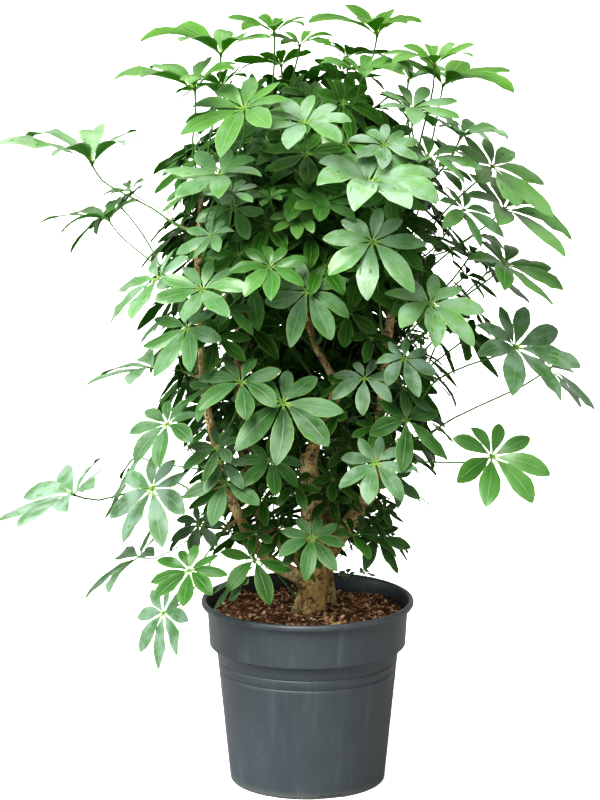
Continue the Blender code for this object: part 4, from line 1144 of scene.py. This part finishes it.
def build_soil(finish, soil_tree):
    """The bed of potting mix: a rough top on a closed body."""
    low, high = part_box("potting_soil")
    edge = (high.x - low.x) / 2.0
    points = [Vector((0.0, 0.0, high.z - SOIL_CENTRE_SUNK))]
    for ring in range(1, SOIL_RINGS + 1):
        radius = edge * ring / SOIL_RINGS
        for number in range(SOIL_SIDES):
            turn = 2.0 * math.pi * number / SOIL_SIDES
            x, y = math.cos(turn) * radius, math.sin(turn) * radius
            spot = Vector((x, y, 0.0))
            above = Vector((x * SOIL_READ_SHARE, y * SOIL_READ_SHARE, 1.0))
            hit = soil_tree.ray_cast(above, -UP)[0]
            level = hit.z if hit and hit.z > SOIL_LEAST_TOP else SOIL_USUAL_TOP
            rough = sum(noise.noise(spot * scale) * height for scale, height in SOIL_LUMPS)
            if under_fallen_leaf(x, y):
                rough = min(rough, 0.0) - HOLLOW_DEPTH
            points.append(Vector((x, y, level + rough - SOIL_SKIN)))
    for radius, z in ((edge - SOIL_SKIN, SOIL_LEAST_TOP), SOIL_WAIST, (SOIL_FOOT_RADIUS, low.z)):
        for number in range(SOIL_SIDES):
            turn = 2.0 * math.pi * number / SOIL_SIDES
            points.append(Vector((math.cos(turn) * radius, math.sin(turn) * radius, z)))
    points.append(Vector((0.0, 0.0, low.z)))
    rings = (len(points) - 2) // SOIL_SIDES
    soil = make_object("soil_bed", points, lathe_faces(SOIL_SIDES, rings, turned_over=True))
    soil.data.materials.append(finish)
    smooth(soil)
    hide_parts("potting_soil")
    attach(soil, "root")
    return soil


def scatter_tree():
    """Crumbs and fibres scattered over a surface, none of them beyond the bed's edge."""
    w, (surface, edge, material) = geometry_tree("loose_mix", {"Edge": "Float", "Finish": "Material"})
    crumb = w.geometry("MeshIcoSphere", Radius=1.0, Subdivisions=1)
    fibre = w.geometry("MeshCylinder", Vertices=5, Side_Segments=4, Radius=FIBRE_RADIUS, Depth=2.0)
    kinds = (                 # shape, density, sizes, how freely it tilts, how far it leans
        (crumb, CRUMB_DENSITY, CRUMB_SIZES, HALF_TURN, 0.0),
        (fibre, FIBRE_DENSITY, FIBRE_SIZES, 0.0, QUARTER_TURN),
    )
    parts = []
    for number, (shape, density, (smallest, largest), tilt, lean) in enumerate(kinds):
        seed = LOOSE_SEED + number
        spots = w.node("GeometryNodeDistributePointsOnFaces", {}, {
            "Mesh": surface, "Density": density, "Seed": LOOSE_SEED + number * 7})
        turn = w.node("FunctionNodeRandomValue", {"data_type": "FLOAT_VECTOR"}, {
            0: (lean - LEAN_CHANGE - tilt, -tilt, -HALF_TURN),
            1: (lean + LEAN_CHANGE + tilt, tilt, HALF_TURN),
            "Seed": seed + 20})
        size = w.node("FunctionNodeRandomValue", {"data_type": "FLOAT_VECTOR"}, {
            0: smallest, 1: largest, "Seed": seed + 40})
        tint = w.node("FunctionNodeRandomValue", {"data_type": "FLOAT"}, {
            2: 0.0, 3: 1.0, "Seed": seed + 60}, out=1)
        placed = w.geometry("InstanceOnPoints", Points=spots, Instance=shape, Scale=size,
                            Rotation=w.node("FunctionNodeEulerToRotation", {}, {0: turn}))
        placed = w.node("GeometryNodeStoreNamedAttribute", {"data_type": "FLOAT", "domain": "INSTANCE"}, {
            "Geometry": placed, "Name": "tint", "Value": tint})
        placed = w.geometry("RealizeInstances", Geometry=placed)
        spot = w.node("GeometryNodeInputPosition")
        shake = w.grain(spot, 330.0, 2.0, out=1) - (0.5, 0.5, 0.5)
        spot = spot + shake * LOOSE_SHAKE
        level = spot * (1.0, 1.0, 0.0)
        from_axis = w.node("ShaderNodeVectorMath", {"operation": "LENGTH"}, {0: level}, out=1)
        inside = spot + level * (w.least(1.0, edge / from_axis) - 1.0)
        parts.append(w.geometry("SetPosition", Geometry=placed, Position=inside))
    return w.deliver(w.geometry("SetMaterial", Geometry=w.joined(*parts), Material=material))


def build_loose_mix(soil, finish):
    """Chips and fibres over the top of the bed, except on the dry leaflet and close to the pot."""
    low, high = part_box("potting_soil")
    edge = (high.x - low.x) / 2.0
    points = [vertex.co.copy() for vertex in soil.data.vertices]

    def carries_chips(point):
        on_top = point.z > LOOSE_LEAST_TOP and point.xy.length < edge - LOOSE_MARGIN
        return on_top and not under_fallen_leaf(point.x, point.y)

    top = [tuple(face.vertices) for face in soil.data.polygons
           if all(carries_chips(points[index]) for index in face.vertices)]
    mix = make_object("soil_chips", points, top)
    grow_with(mix, scatter_tree(), edge=edge - SOIL_SKIN, finish=finish)
    smooth(mix)
    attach(mix, "root")


# ---------------------------------------------------------------- studio

def put_in_scene(thing):
    bpy.context.scene.collection.objects.link(thing)


def build_studio():
    """A pale floor, large soft lights round the plant, a lit panel behind it and an even sky."""
    corners = [(x * FLOOR_REACH, y * FLOOR_REACH, 0.0) for x, y in ((-1, -1), (1, -1), (1, 1), (-1, 1))]
    floor = make_object("studio_floor", corners, [(0, 1, 2, 3)])
    finish = Finish("pale_floor")
    seen = finish.wiring.node("ShaderNodeLightPath", out="Is Camera Ray")
    finish.set(Base_Color=finish.wiring.mix(seen, FLOOR_BOUNCE, FLOOR_COLOUR), Roughness=0.9)
    finish.set(Emission_Color=finish.wiring.mix(seen, (0.0, 0.0, 0.0), FLOOR_GLOW))
    finish.set(Specular_IOR_Level=0.0, Emission_Strength=1.0)
    floor.data.materials.append(finish.material)
    world = bpy.data.worlds.new("studio")
    bpy.context.scene.world = world
    world.use_nodes = True
    world.node_tree.nodes["Background"].inputs[0].default_value = SKY_COLOUR
    world.node_tree.nodes["Background"].inputs[1].default_value = SKY_STRENGTH
    for name, direction, strength, angle, colour in LAMPS:
        light = bpy.data.lights.new(name, "SUN")
        light.color = colour
        light.energy = strength
        light.angle = math.radians(angle)
        lamp = bpy.data.objects.new(name, light)
        lamp.rotation_euler = Vector(direction).to_track_quat("Z", "Y").to_euler()
        put_in_scene(lamp)
    place, size, power = BACK_PANEL
    light = bpy.data.lights.new("back_panel", "AREA")
    light.size = size
    light.energy = power
    lamp = bpy.data.objects.new("back_panel", light)
    lamp.location = place
    lamp.rotation_euler = (Vector(place) - PANEL_AIM).to_track_quat("Z", "Y").to_euler()
    lamp.visible_camera = False
    put_in_scene(lamp)
    camera = bpy.data.objects.new("camera", bpy.data.cameras.new("camera"))
    camera.location = CAMERA_PLACE
    camera.rotation_euler = (math.radians(90.0 - CAMERA_PITCH), 0.0, 0.0)
    camera.data.sensor_width = CAMERA_SENSOR
    camera.data.lens = CAMERA_LENS
    put_in_scene(camera)
    scene = bpy.context.scene
    scene.camera = camera
    scene.view_settings.view_transform = "Standard"
    scene.view_settings.look = "Medium High Contrast"


def main():
    stem_points, stem_faces = [], []
    for node in STEMS:
        points, faces = merged_mesh(node)
        stem_faces += [tuple(index + len(stem_points) for index in face) for face in faces]
        stem_points += points
    bark_tree = BVHTree.FromPolygons(stem_points, stem_faces)
    soil_tree = BVHTree.FromPolygons(*merged_mesh("potting_soil"))
    blank = leaflet_blank("leaflet", BLADE_ROWS, BLADE_COLUMNS)
    simple_blank = leaflet_blank("simple_leaflet", INNER_ROWS, INNER_COLUMNS)
    tree = growth_tree()
    blade, stalk = leaf_finish(), stalk_finish()
    hubs = build_shoots(tree, blank, blade, stalk, bark_tree, soil_tree)
    build_inner_leaves(tree, simple_blank, blade, stalk, bark_tree, hubs)
    build_fallen_leaf(tree, blank, dry_leaf_finish())
    bark = bark_finish()
    for node in STEMS:
        build_stem(node, bark)
    build_pot(plastic_finish())
    soil = build_soil(soil_finish(), soil_tree)
    build_loose_mix(soil, crumb_finish())
    remove(blank, simple_blank)
    build_studio()


main()
